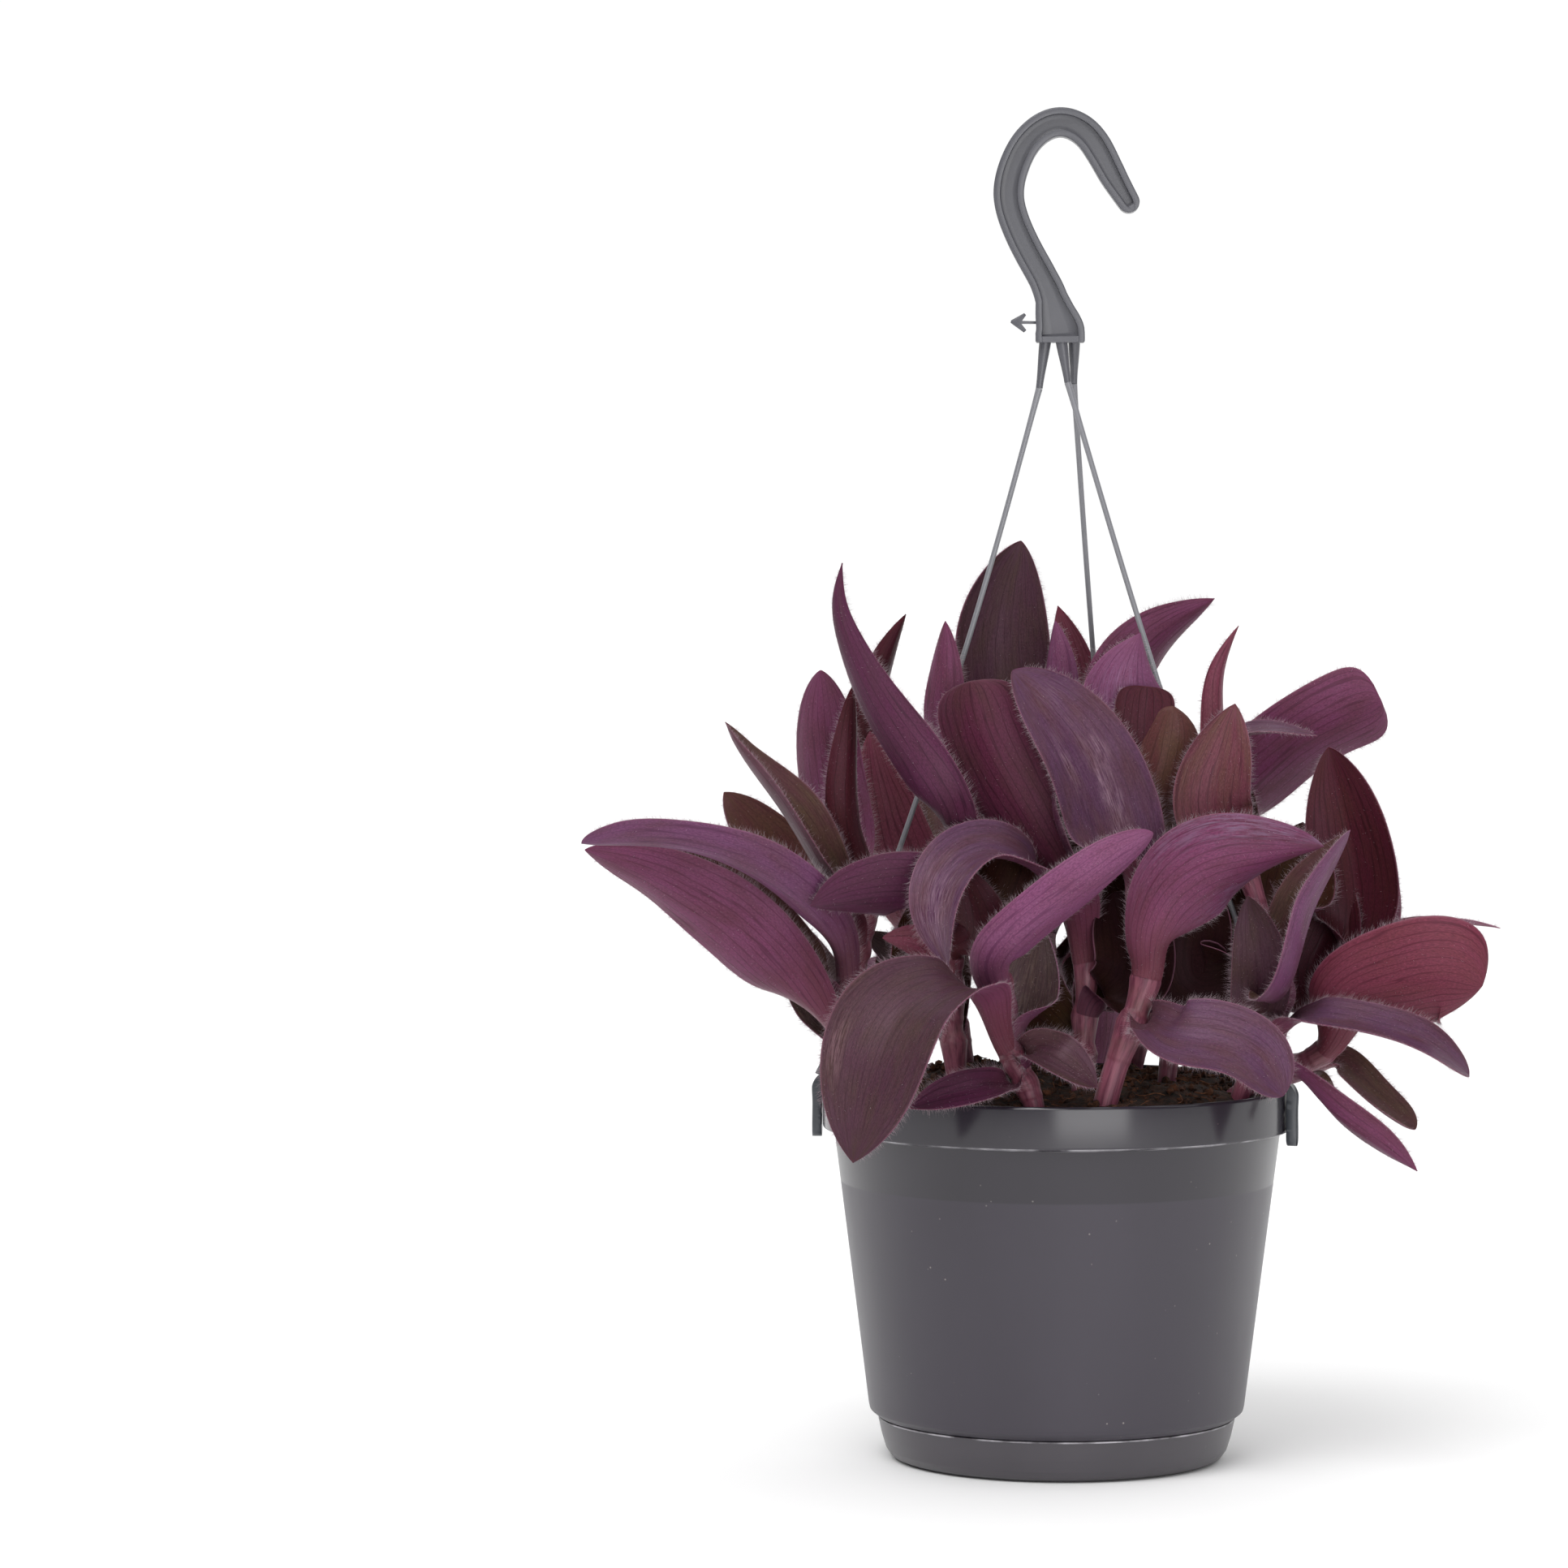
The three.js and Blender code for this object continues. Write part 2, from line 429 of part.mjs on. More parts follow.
const LEAVES = [
  // the fan on the left
  { name: 'left_low', stem: 'left', at: 0.27, width: 33, tone: 'magenta', curl: 50, tip: 0.75, lift: 0.6,
    midrib: [[-91, -34, 170], [-113, -42, 193], [-139, -46, 211], [-168, -44, 223]],
    face: [0.05, 0.9, 0.4], tipFace: [0.1, 0.8, 0.6] },
  { name: 'left_arch', stem: 'left', at: 0.52, width: 26, tone: 'mauve', curl: 95, blunt: 2.8, tip: 0.6,
    midrib: [[-83, -42, 196], [-99, -58, 212], [-125, -66, 224], [-168, -58, 226]],
    face: [0, 0.6, 1], tipFace: [0, 0.5, 1] },
  { name: 'left_rise', stem: 'left', at: 0.7, width: 33, tone: 'olive', curl: 100, tip: 0.9,
    midrib: [[-84, -31, 214], [-97, -34, 236], [-114, -28, 259], [-119, -26, 268]],
    face: [0.96, -0.3, 0.5] },
  { name: 'left_behind', stem: 'left', at: 0.62, width: 29, tone: 'olive', curl: 45, blunt: 3, tip: 0.8,
    midrib: [[-93, 10, 206], [-108, 14, 223], [-122, 16, 241]],
    face: [0.5, -0.8, 0.3] },
  { name: 'left_tall', stem: 'left', at: 0.86, width: 28, tone: 'magenta', blunt: 3, tip: 0.7,
    midrib: [[-80, 4, 226], [-85, 6, 255], [-86, 4, 286]],
    face: [0.3, 0.9, 0.2] },
  { name: 'left_rust', stem: 'back_left', at: 0.45, width: 29, tone: 'rust', curl: 40,
    midrib: [[-52, 34, 200], [-62, 30, 230], [-69, 28, 263]],
    face: [-0.1, 0.9, 0.2] },
  // left of the middle
  { name: 'long_blade', stem: 'mid_left', at: 0.64, width: 23, tone: 'mauve',
    curl: 80, blunt: 1.7, tip: 1, widest: 0.35,
    midrib: [[-41, -50, 239], [-60, -50, 269], [-74, -46, 296], [-78, -43, 311], [-76.5, -40, 325]],
    face: [0.35, 0.9, 0.25] },
  { name: 'square_tip', stem: 'inner', at: 0.8, width: 34, tone: 'plum',
    curl: 45, blunt: 9, tip: 0.5, widest: 0.6,
    midrib: [[-2, -31, 221], [-15, -33, 243], [-26, -33, 264], [-31, -32, 283]],
    face: [0.2, 0.95, 0.2] },
  { name: 'arch', stem: 'inner', at: 0.55, width: 36, tone: 'slate', curl: 50,
    midrib: [[-4, -52, 213], [-27, -64, 223], [-40, -73, 209], [-38, -73, 184]],
    face: [-0.1, -0.3, 1], tipFace: [-0.8, -0.8, 0.2] },
  { name: 'point_left', stem: 'mid_left', at: 0.42, width: 33, tone: 'plum', tip: 0.85,
    midrib: [[-47, -50, 206], [-65, -58, 208], [-87, -56, 204]],
    face: [0, 0.8, 0.6] },
  // the top
  { name: 'top', stem: 'back', at: 0.66, width: 37, tone: 'slate', curl: 55, tip: 0.75, widest: 0.62,
    midrib: [[-17, 24, 264], [-21, 26, 296], [-13.5, 22, 333]],
    face: [0.15, -1, 0.1] },
  { name: 'top_behind', stem: 'back_left', at: 0.96, width: 30, tone: 'rust', curl: 50, tip: 0.9,
    midrib: [[-20, 54, 236], [4, 50, 276], [0, 44, 309]],
    face: [0.2, -1, 0.1] },
  { name: 'front_broad', stem: 'front_mid', at: 0.97, width: 37, tone: 'slate',
    curl: 55, blunt: 2.8, tip: 0.7, widest: 0.38, swell: 1,
    midrib: [[19, -44, 232], [7, -47, 261], [-16, -44, 287]],
    face: [0.2, -0.95, 0.3], tipFace: [0.1, -0.9, 0.5] },
  { name: 'dark_fold', stem: 'inner', at: 0.98, width: 26, tone: 'olive', curl: 80,
    midrib: [[7, -14, 230], [1, -13, 252]],
    face: [0.2, -0.95, 0.1] },
  { name: 'top_right', stem: 'upper_right', at: 0.92, width: 29, tone: 'magenta', tip: 0.95,
    midrib: [[24, 20, 279], [36, 22, 298], [57, 18, 312]],
    face: [-0.3, 0.85, 0.4] },
  { name: 'bent_tip', stem: 'upper_right', at: 0.98, width: 31, tone: 'magenta',
    blunt: 1.4, tip: 1, widest: 0.66,
    midrib: [[28, -19, 262], [24, -22, 281], [29.5, -21, 300]],
    face: [-0.2, 0.95, -0.1] },
  { name: 'olive_mid', stem: 'upper_right', at: 0.8, width: 29, tone: 'olive',
    blunt: 4, tip: 0.7, widest: 0.5,
    midrib: [[34, -24, 240], [37, -27, 256], [41, -26, 274]],
    face: [0.1, 0.9, 0.2] },
  // the right
  { name: 'right_upright', stem: 'right', at: 0.96, width: 29, tone: 'rose', curl: 50, widest: 0.38,
    midrib: [[56, -36, 236], [58, -36, 256], [63, -33, 275]],
    face: [-0.1, -1, 0.1] },
  { name: 'right_curl', stem: 'back_right', at: 0.92, width: 15, tone: 'rose', curl: 110,
    midrib: [[59, 26, 261], [59.5, 26, 284], [66, 24, 302]],
    face: [-0.7, 0.6, 0.2] },
  { name: 'right_high', stem: 'back_right', at: 0.86, width: 34, tone: 'magenta',
    curl: 40, blunt: 14, tip: 0.42, widest: 0.6,
    midrib: [[62, 20, 235], [86, 8, 258.5], [103, 4, 269], [117, 2, 275]],
    face: [-0.3, 0.9, 0.3] },
  { name: 'right_sickle', stem: 'far_right', at: 0.99, width: 34, tone: 'maroon',
    curl: 55, tip: 0.75, widest: 0.5,
    midrib: [[106, -20, 191], [105, -21, 226], [97, -17, 259]],
    face: [-0.3, -0.95, 0.1] },
  { name: 'right_thin', stem: 'far_right', at: 0.75, width: 15, tone: 'rose',
    midrib: [[120, 0, 190], [140, 2, 195], [160, 2, 193]],
    face: [0, -0.02, 1] },
  { name: 'fan', stem: 'front_mid', at: 0.66, width: 37, tone: 'magenta',
    tipCurl: 95, widest: 0.52, swell: 1.7,
    midrib: [[33, -69, 192], [40, -72, 208], [53, -74, 218], [69, -73, 222], [93, -66, 226]],
    face: [0, 1, 0.1], tipFace: [0.05, 0.55, 0.85] },
  { name: 'right_cup', stem: 'right', at: 0.3, width: 39, tone: 'olive', curl: 115,
    midrib: [[82, -60, 179], [89, -59, 203], [96, -56, 217], [103, -51, 231]],
    face: [-0.93, -0.22, 0.35] },
  { name: 'right_wing', stem: 'far_right', at: 0.6, width: 42, tone: 'rose',
    curl: 38, blunt: 3.2, tip: 0.55, widest: 0.7, lift: 0.3,
    midrib: [[104, -53, 172], [120, -60, 178], [135, -63, 181], [149, -60, 177]],
    face: [-0.1, 0.95, 0.3] },
  { name: 'right_strap', stem: 'right', at: 0.22, width: 19, tone: 'slate',
    curl: 50, blunt: 5, tip: 0.55, lift: 0.6,
    midrib: [[90, -65, 166], [108, -71, 164], [127, -72, 158], [144, -66, 146]],
    face: [0.1, -0.55, 0.85] },
  { name: 'front_right', stem: 'front_mid', at: 0.42, width: 30, tone: 'slate',
    curl: 45, blunt: 2.8, tip: 0.7, widest: 0.55, swell: 1.8, lift: 0.3,
    midrib: [[38, -84, 162], [53, -91, 160], [68, -94, 154], [78, -93, 141]],
    face: [0.1, -0.8, 0.6] },
  { name: 'rim_right_high', stem: 'far_right', at: 0.38, width: 15, tone: 'olive',
    curl: 80, blunt: 4, tip: 0.55, lift: 0.3,
    midrib: [[98, -20, 146], [112, -24, 136], [128, -28, 123]],
    face: [0.1, -0.6, 0.8] },
  { name: 'rim_right_low', stem: 'far_right', at: 0.3, width: 21, tone: 'magenta',
    tip: 0.9, widest: 0.5, lift: 0.3,
    midrib: [[87, -53, 143], [97, -67, 133], [111, -70, 123], [126, -68, 112.5]],
    face: [0.2, 0.5, 0.8] },
  // the front
  { name: 'front_drape', stem: 'front_left', at: 0.38, width: 42, tone: 'slate',
    curl: 40, blunt: 2.4, tip: 0.9, widest: 0.55, swell: 1.9,
    midrib: [[-32, -92, 178], [-51, -104, 172], [-63, -112, 150], [-70, -110, 119]],
    face: [-0.2, -0.5, 0.9], tipFace: [-0.1, -1, 0.1] },
  { name: 'finger', stem: 'front_left', at: 0.6, width: 21, tone: 'magenta',
    curl: 90, blunt: 5, tip: 0.6, widest: 0.35,
    midrib: [[-21, -84, 186], [-9, -91, 200], [8, -94, 213], [24, -93, 225], [33, -92, 232]],
    face: [-0.1, 0.9, 0.4], tipFace: [-0.3, 0.85, 0.5] },
  { name: 'low_centre', stem: 'front_left', at: 0.3, width: 18, tone: 'plum', curl: 50, lift: 0.1,
    midrib: [[-1, -84, 154], [14, -85, 143]],
    face: [0.1, -0.8, 0.6] },
  { name: 'low_left', stem: 'front_left', at: 0.16, width: 16, tone: 'plum', curl: 50, lift: 0.1,
    midrib: [[-25, -86, 143], [-51, -101, 137]],
    face: [0, -0.8, 0.7] },
  // behind
  { name: 'back_drape_left', stem: 'back_left', at: 0.3, width: 32, tone: 'magenta',
    midrib: [[-52, 68, 172], [-68, 94, 158], [-71, 112, 118]],
    face: [-0.3, 0.3, 1], tipFace: [-0.5, 0.9, 0.2] },
  { name: 'back_drape_mid', stem: 'back', at: 0.25, width: 34, tone: 'slate',
    midrib: [[4, 62, 176], [10, 96, 164], [14, 120, 122]],
    face: [0, 0.3, 1], tipFace: [0.1, 1, 0.2] },
  { name: 'back_drape_right', stem: 'back_right', at: 0.3, width: 32, tone: 'magenta',
    midrib: [[56, 74, 172], [72, 96, 156], [74, 114, 118]],
    face: [0.3, 0.3, 1], tipFace: [0.5, 0.9, 0.2] },
  { name: 'back_high_left', stem: 'back_left', at: 0.8, width: 30, tone: 'olive',
    midrib: [[-54, 72, 236], [-62, 94, 262]],
    face: [0.4, -0.8, 0.4] },
  { name: 'back_high_right', stem: 'back_right', at: 0.6, width: 30, tone: 'olive',
    midrib: [[56, 80, 230], [64, 100, 254]],
    face: [-0.4, -0.8, 0.4] },
  { name: 'back_mid', stem: 'back', at: 0.55, width: 32, tone: 'plum',
    midrib: [[-4, 60, 218], [-12, 98, 236]],
    face: [0, -0.8, 0.5] },
];

// ---------------------------------------------------------------- assembly
const group = new THREE.Group();

function place(name, geometry, material) {
  const mesh = new THREE.Mesh(geometry, material);
  mesh.name = name;
  group.add(mesh);
}

const stems = STEMS.map(plantStem);

place('saucer', saucerGeometry(), finish(POT_PLASTIC, 0.5));
place('pot', potGeometry(), finish(POT_PLASTIC, 0.45));
place('potting_mix', pottingMixGeometry(stems), finish(PEAT, 1));
place('hanger_hook', hookGeometry(), finish(HANGER_PLASTIC, 0.45));
for (const strand of STRANDS) {
  place(`hanger_strand_${strand.name}`, strandGeometry(strand), finish(HANGER_PLASTIC, 0.4));
  place(`rim_clip_${strand.name}`, clipGeometry(strand), finish(HANGER_PLASTIC, 0.45));
}
for (const stem of stems) {
  place(`stem_${stem.name}`, rod(stem.curve, stem.radius, 8, 10), finish(STEM_PINK, 0.5));
}
for (const leaf of LEAVES) {
  const stem = stems.find(({ name }) => name === leaf.stem);
  place(`leaf_${leaf.name}`, leafGeometry(leaf, stem), finish(LEAF_TONES[leaf.tone], 0.5));
}

export default group;
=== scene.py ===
"""A potted tradescantia in a plastic hanging pot, with its saucer, hanger and potting mix.

Every size is in millimetres until a mesh is written, which is in metres. The frame is the
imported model's: the origin is the centre of the saucer's underside, +Z is up and -Y the front.
"""

import logging
import math
from dataclasses import dataclass, field
from enum import Enum

import bpy
import numpy as np
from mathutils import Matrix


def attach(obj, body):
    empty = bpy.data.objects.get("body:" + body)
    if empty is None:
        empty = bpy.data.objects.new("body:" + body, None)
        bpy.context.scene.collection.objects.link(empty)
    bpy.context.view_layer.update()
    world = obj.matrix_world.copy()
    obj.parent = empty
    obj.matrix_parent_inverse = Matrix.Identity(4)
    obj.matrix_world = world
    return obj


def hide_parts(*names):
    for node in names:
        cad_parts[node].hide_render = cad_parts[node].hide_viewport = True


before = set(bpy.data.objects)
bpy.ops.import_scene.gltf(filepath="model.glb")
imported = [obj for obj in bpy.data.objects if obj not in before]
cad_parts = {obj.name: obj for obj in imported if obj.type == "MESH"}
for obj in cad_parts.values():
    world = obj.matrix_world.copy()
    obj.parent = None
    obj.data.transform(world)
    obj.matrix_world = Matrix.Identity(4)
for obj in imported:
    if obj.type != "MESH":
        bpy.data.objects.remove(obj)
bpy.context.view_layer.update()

LOG = logging.getLogger("tradescantia")
MM = 0.001
BODY = "root"
CLEARANCE = 0.3  # gap in millimetres between pieces of the CAD that touch in the real thing
BACK, UP = np.array([0.0, 1.0, 0.0]), np.array([0.0, 0.0, 1.0])
RANDOM = np.random.default_rng(81)


# ---- small helpers
def linear(hex_colour: str) -> tuple[float, float, float, float]:
    """Turns an sRGB hex colour such as "58565b" into linear RGBA.

    Args:
        hex_colour: six hex digits.

    Returns:
        The linear colour with alpha 1.
    """
    srgb = np.array([int(hex_colour[i : i + 2], 16) for i in (0, 2, 4)]) / 255
    values = np.where(srgb <= 0.04045, srgb / 12.92, ((srgb + 0.055) / 1.055) ** 2.4)
    return (*values.tolist(), 1.0)


def unit(vectors: np.ndarray) -> np.ndarray:
    """Scales each vector of an array to length one."""
    return vectors / np.maximum(np.linalg.norm(vectors, axis=-1, keepdims=True), 1e-12)


def ease(t: np.ndarray) -> np.ndarray:
    """Smooth step of a share that is first held between 0 and 1."""
    t = np.clip(t, 0, 1)
    return t * t * (3 - 2 * t)


def bump_at(t: np.ndarray, centre: float, width: float) -> np.ndarray:
    """Bell curve of height one round `centre`."""
    return np.exp(-(((t - centre) / width) ** 2))


def circle(side: np.ndarray, up: np.ndarray, angle: np.ndarray) -> np.ndarray:
    """Points side * cos a + up * sin a for each pair of directions and each angle.

    Args:
        side: first directions.
        up: second directions, square to the first.
        angle: the angles a in radians.

    Returns:
        The points, of shape (pairs, angles, 3).
    """
    return (
        side[:, None] * np.cos(angle)[None, :, None] + up[:, None] * np.sin(angle)[None, :, None]
    )


def swept(
    centre: np.ndarray, first: np.ndarray, across: list, second: np.ndarray, through: list
) -> np.ndarray:
    """Carries a section along a line: ring = centre + first * across + second * through.

    Args:
        centre: the line's points.
        first: direction of the section's first axis at each of them, or one for all.
        across: for each corner of the section, its place on the first axis at every point.
        second: direction of the second axis, in the same way.
        through: places on the second axis, in the same way.

    Returns:
        The rings, of shape (points of the line, corners, 3).
    """
    rings = centre[:, None] + np.atleast_2d(first)[:, None] * np.stack(across, 1)[..., None]
    return rings + np.atleast_2d(second)[:, None] * np.stack(through, 1)[..., None]


class SmoothCurve:
    """A cubic spline through points, with smooth slope and bend, read by share of length."""

    def __init__(self, points: list, start: np.ndarray | None = None, samples: int = 90) -> None:
        """Solves the spline's slopes and measures its length.

        Args:
            points: the points it goes through.
            start: direction in which it leaves the first point, or None to leave it free.
            samples: points computed on each span to measure its length.
        """
        knots = np.array(points, float)
        spans = np.linalg.norm(np.diff(knots, axis=0), axis=1)
        chords = np.diff(knots, axis=0) / spans[:, None]
        count = len(knots)
        system = np.zeros((count, count))
        right = np.zeros((count, 3))
        if start is None:
            system[0, :2] = 2, 1
            right[0] = 3 * chords[0]
        else:
            system[0, 0] = 1
            right[0] = start
        for i in range(1, count - 1):
            before, after = 1 / spans[i - 1], 1 / spans[i]
            system[i, i - 1 : i + 2] = before, 2 * (before + after), after
            right[i] = 3 * (chords[i - 1] * before + chords[i] * after)
        system[-1, -2:] = 1, 2
        right[-1] = 3 * chords[-1]
        slopes = np.linalg.solve(system, right)
        t = np.linspace(0, 1, samples, endpoint=False)[:, None]
        pieces = [
            knots[i] * (2 * t**3 - 3 * t**2 + 1)
            + slopes[i] * spans[i] * (t**3 - 2 * t**2 + t)
            + knots[i + 1] * (3 * t**2 - 2 * t**3)
            + slopes[i + 1] * spans[i] * (t**3 - t**2)
            for i in range(count - 1)
        ]
        self.line = np.vstack([*pieces, knots[-1:]])
        steps = np.linalg.norm(np.diff(self.line, axis=0), axis=1)
        self.run = np.concatenate([[0], np.cumsum(steps)])
        self.length = float(self.run[-1])

    def at(self, share: np.ndarray | float) -> np.ndarray:
        """Points at shares of the length, from 0 to 1."""
        place = np.asarray(share, float) * self.length
        return np.stack([np.interp(place, self.run, self.line[:, k]) for k in range(3)], -1)

    def along(self, share: np.ndarray | float) -> np.ndarray:
        """Directions of travel at shares of the length."""
        share = np.asarray(share, float)
        return unit(self.at(np.clip(share + 0.004, 0, 1)) - self.at(np.clip(share - 0.004, 0, 1)))


# ---- meshes
@dataclass
class Surface:
    """Vertices, faces and what the finishes read from them.

    Attributes:
        vertices: points in millimetres.
        faces: index lists, wound so that they face outwards.
        slots: index of the finish on each face.
        lie: where each point lies on its piece, in millimetres, read as attribute "lie".
        marks: further numbers for each point, read as attributes of their own names.
    """

    vertices: np.ndarray
    faces: list
    slots: np.ndarray | None = None
    lie: np.ndarray | None = None
    marks: dict[str, np.ndarray] = field(default_factory=dict)

    def piece(
        self, name: str, finishes: list, slot: str, sharp: float = 40.0, node: str = ""
    ) -> None:
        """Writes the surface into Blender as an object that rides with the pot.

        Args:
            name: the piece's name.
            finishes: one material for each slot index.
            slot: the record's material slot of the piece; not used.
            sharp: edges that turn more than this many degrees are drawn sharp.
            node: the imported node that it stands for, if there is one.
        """
        mesh = bpy.data.meshes.new(name)
        mesh.from_pydata((self.vertices * MM).tolist(), [], self.faces)
        for finish in finishes:
            mesh.materials.append(finish)
        if self.slots is not None:
            mesh.polygons.foreach_set("material_index", self.slots.astype(np.int32))
        if self.lie is not None:
            layer = mesh.attributes.new("lie", "FLOAT_VECTOR", "POINT")
            layer.data.foreach_set("vector", self.lie.astype(np.float32).ravel())
        for mark, values in self.marks.items():
            layer = mesh.attributes.new(mark, "FLOAT", "POINT")
            layer.data.foreach_set("value", values.astype(np.float32).ravel())
        mesh.shade_smooth()
        mesh.set_sharp_from_angle(angle=math.radians(sharp))
        mesh.validate()
        thing = bpy.data.objects.new(name, mesh)
        bpy.context.scene.collection.objects.link(thing)
        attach(thing, BODY)
        if node:
            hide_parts(node)
        LOG.info("%s: %d faces", name, len(mesh.polygons))


def joined(surfaces: list[Surface]) -> Surface:
    """Puts several surfaces into one, keeping their places and marks.

    Args:
        surfaces: the surfaces, all with the same marks.

    Returns:
        The one surface.
    """
    starts = np.cumsum([0] + [len(s.vertices) for s in surfaces[:-1]])
    faces = [
        [index + int(start) for index in face]
        for surface, start in zip(surfaces, starts)
        for face in surface.faces
    ]
    lies = [s.lie for s in surfaces]
    marks = {k: np.concatenate([s.marks[k] for s in surfaces]) for k in surfaces[0].marks}
    return Surface(
        np.vstack([s.vertices for s in surfaces]),
        faces,
        lie=None if any(lie is None for lie in lies) else np.vstack(lies),
        marks=marks,
    )


def loft(rings: np.ndarray, lie: np.ndarray | None = None) -> Surface:
    """Skins a stack of closed rings and caps both ends.

    Quad (i, j) joins ring i to ring i + 1 between their points j and j + 1. The rings run
    against the clock as seen from the last ring, so the skin faces outwards.

    Args:
        rings: points of shape (rings, points, 3).
        lie: the place of each point on the piece, of the same shape.

    Returns:
        The closed surface.
    """
    stations, count = rings.shape[:2]
    index = np.arange(stations * count).reshape(stations, count)
    following = np.roll(index, -1, axis=1)
    quads = np.stack([index[:-1], following[:-1], following[1:], index[1:]], -1).reshape(-1, 4)
    faces = quads.tolist() + [index[0, ::-1].tolist(), index[-1].tolist()]
    flat = None if lie is None else lie.reshape(-1, 3)
    return Surface(rings.reshape(-1, 3), faces, lie=flat)


def carried(curve: SmoothCurve, shares: np.ndarray, radii: np.ndarray, sides: int) -> Surface:
    """Carries a circle along a curve.

    Ring i is centre(i) + radius(i) * (cos a * side(i) + sin a * up(i)), where side and up
    are square to the curve, and `lie` is (radius cos a, radius sin a, distance run).

    Args:
        curve: the path.
        shares: shares of its length at which a ring stands.
        radii: the ring radii in millimetres.
        sides: points on each ring.

    Returns:
        The closed rod.
    """
    centre, ahead = curve.at(shares), curve.along(shares)
    side = unit(np.cross(ahead, np.array([0.31, -0.95, 0.05])))
    up = np.cross(ahead, side)
    angle = np.linspace(0, 2 * np.pi, sides, endpoint=False)
    rings = centre[:, None] + circle(side, up, angle) * radii[:, None, None]
    run = np.broadcast_to((shares * curve.length)[:, None], rings.shape[:2])
    lie = np.stack([radii[:, None] * np.cos(angle), radii[:, None] * np.sin(angle), run], -1)
    return loft(rings, lie)


def turned(profile: list, segments: int, rounding: float = 0.0) -> Surface:
    """Turns a profile round Z: point (r, z) at angle a goes to (r cos a, r sin a, z).

    Args:
        profile: [radius, height] pairs against the clock, from axis to axis.
        segments: steps round the axis.
        rounding: distance in millimetres at which each corner is cut twice to round it.

    Returns:
        The closed solid of revolution.
    """
    points = np.array(profile, float)
    if rounding:
        points = softened(points, rounding)
    inner = points[1:-1]
    angle = np.linspace(0, 2 * np.pi, segments, endpoint=False)
    rings = np.stack(
        [
            inner[:, :1] * np.cos(angle),
            inner[:, :1] * np.sin(angle),
            np.broadcast_to(inner[:, 1:], (len(inner), segments)),
        ],
        -1,
    )
    count = len(inner)
    index = np.arange(count * segments).reshape(count, segments)
    around = np.roll(index, -1, axis=1)
    quads = np.stack([index[:-1], around[:-1], around[1:], index[1:]], -1).reshape(-1, 4)
    low, high = count * segments, count * segments + 1
    poles = np.array([[0, 0, points[0, 1]], [0, 0, points[-1, 1]]])
    first = [[low, b, a] for a, b in zip(index[0].tolist(), around[0].tolist())]
    last = [[high, a, b] for a, b in zip(index[-1].tolist(), around[-1].tolist())]
    return Surface(np.vstack([rings.reshape(-1, 3), poles]), quads.tolist() + first + last)


def softened(points: np.ndarray, rounding: float) -> np.ndarray:
    """Rounds the inner corners of an open line.

    Each corner becomes four points of the curve that is tangent to both its sides, begun
    `rounding` before it, or a third of the shorter side.

    Args:
        points: the line's points.
        rounding: how far from the corner the curve begins, in millimetres.

    Returns:
        The longer line.
    """
    corner, before, after = points[1:-1], points[:-2] - points[1:-1], points[2:] - points[1:-1]
    reach = np.minimum(
        rounding,
        np.minimum(np.linalg.norm(before, axis=1), np.linalg.norm(after, axis=1)) / 3,
    )[:, None]
    entry, leave = corner + unit(before) * reach, corner + unit(after) * reach
    t = np.linspace(0, 1, 4)[None, :, None]
    curves = (
        entry[:, None] * (1 - t) ** 2 + 2 * corner[:, None] * t * (1 - t) + leave[:, None] * t**2
    )
    return np.vstack([points[:1], curves.reshape(-1, points.shape[1]), points[-1:]])


# ---- finishes
# The Mix node's sockets: the share of B, then A and B as numbers and as colours.
SHARE, NUMBER_A, NUMBER_B, COLOUR_A, COLOUR_B = 0, 2, 3, 6, 7


class Recipe:
    """The node tree of a material or of the surroundings while it is being put together."""

    def __init__(self, name: str, surroundings: bool = False) -> None:
        """Starts an empty tree.

        Args:
            name: what the real material is and how its surface was made.
            surroundings: whether the tree is a world's and not a material's.
        """
        kinds = bpy.data.worlds if surroundings else bpy.data.materials
        self.owner = kinds.new(name)
        self.owner.use_nodes = True
        self.tree = self.owner.node_tree
        self.tree.nodes.clear()

    def add(self, kind: str, inputs: dict | None = None, **settings: object) -> bpy.types.Node:
        """Adds a node.

        Args:
            kind: the node's type, without the word ShaderNode.
            inputs: socket name or index to a value, a hex colour, or the socket or node that
                feeds it. A node feeds it from its first output in use.
            **settings: the node's own properties.

        Returns:
            The node.
        """
        node = self.tree.nodes.new("ShaderNode" + kind)
        for name, value in settings.items():
            setattr(node, name, value)
        for name, value in (inputs or {}).items():
            if isinstance(value, bpy.types.Node):
                value = next(output for output in value.outputs if output.enabled)
            if isinstance(value, bpy.types.NodeSocket):
                self.tree.links.new(value, node.inputs[name])
            else:
                plain = linear(value) if isinstance(value, str) else value
                node.inputs[name].default_value = plain
        return node

    def close(self, shader: bpy.types.Node, output: str = "OutputMaterial") -> bpy.types.ID:
        """Joins the shader to an output of this kind and returns the material or world."""
        self.add(output, {"Surface": shader})
        return self.owner


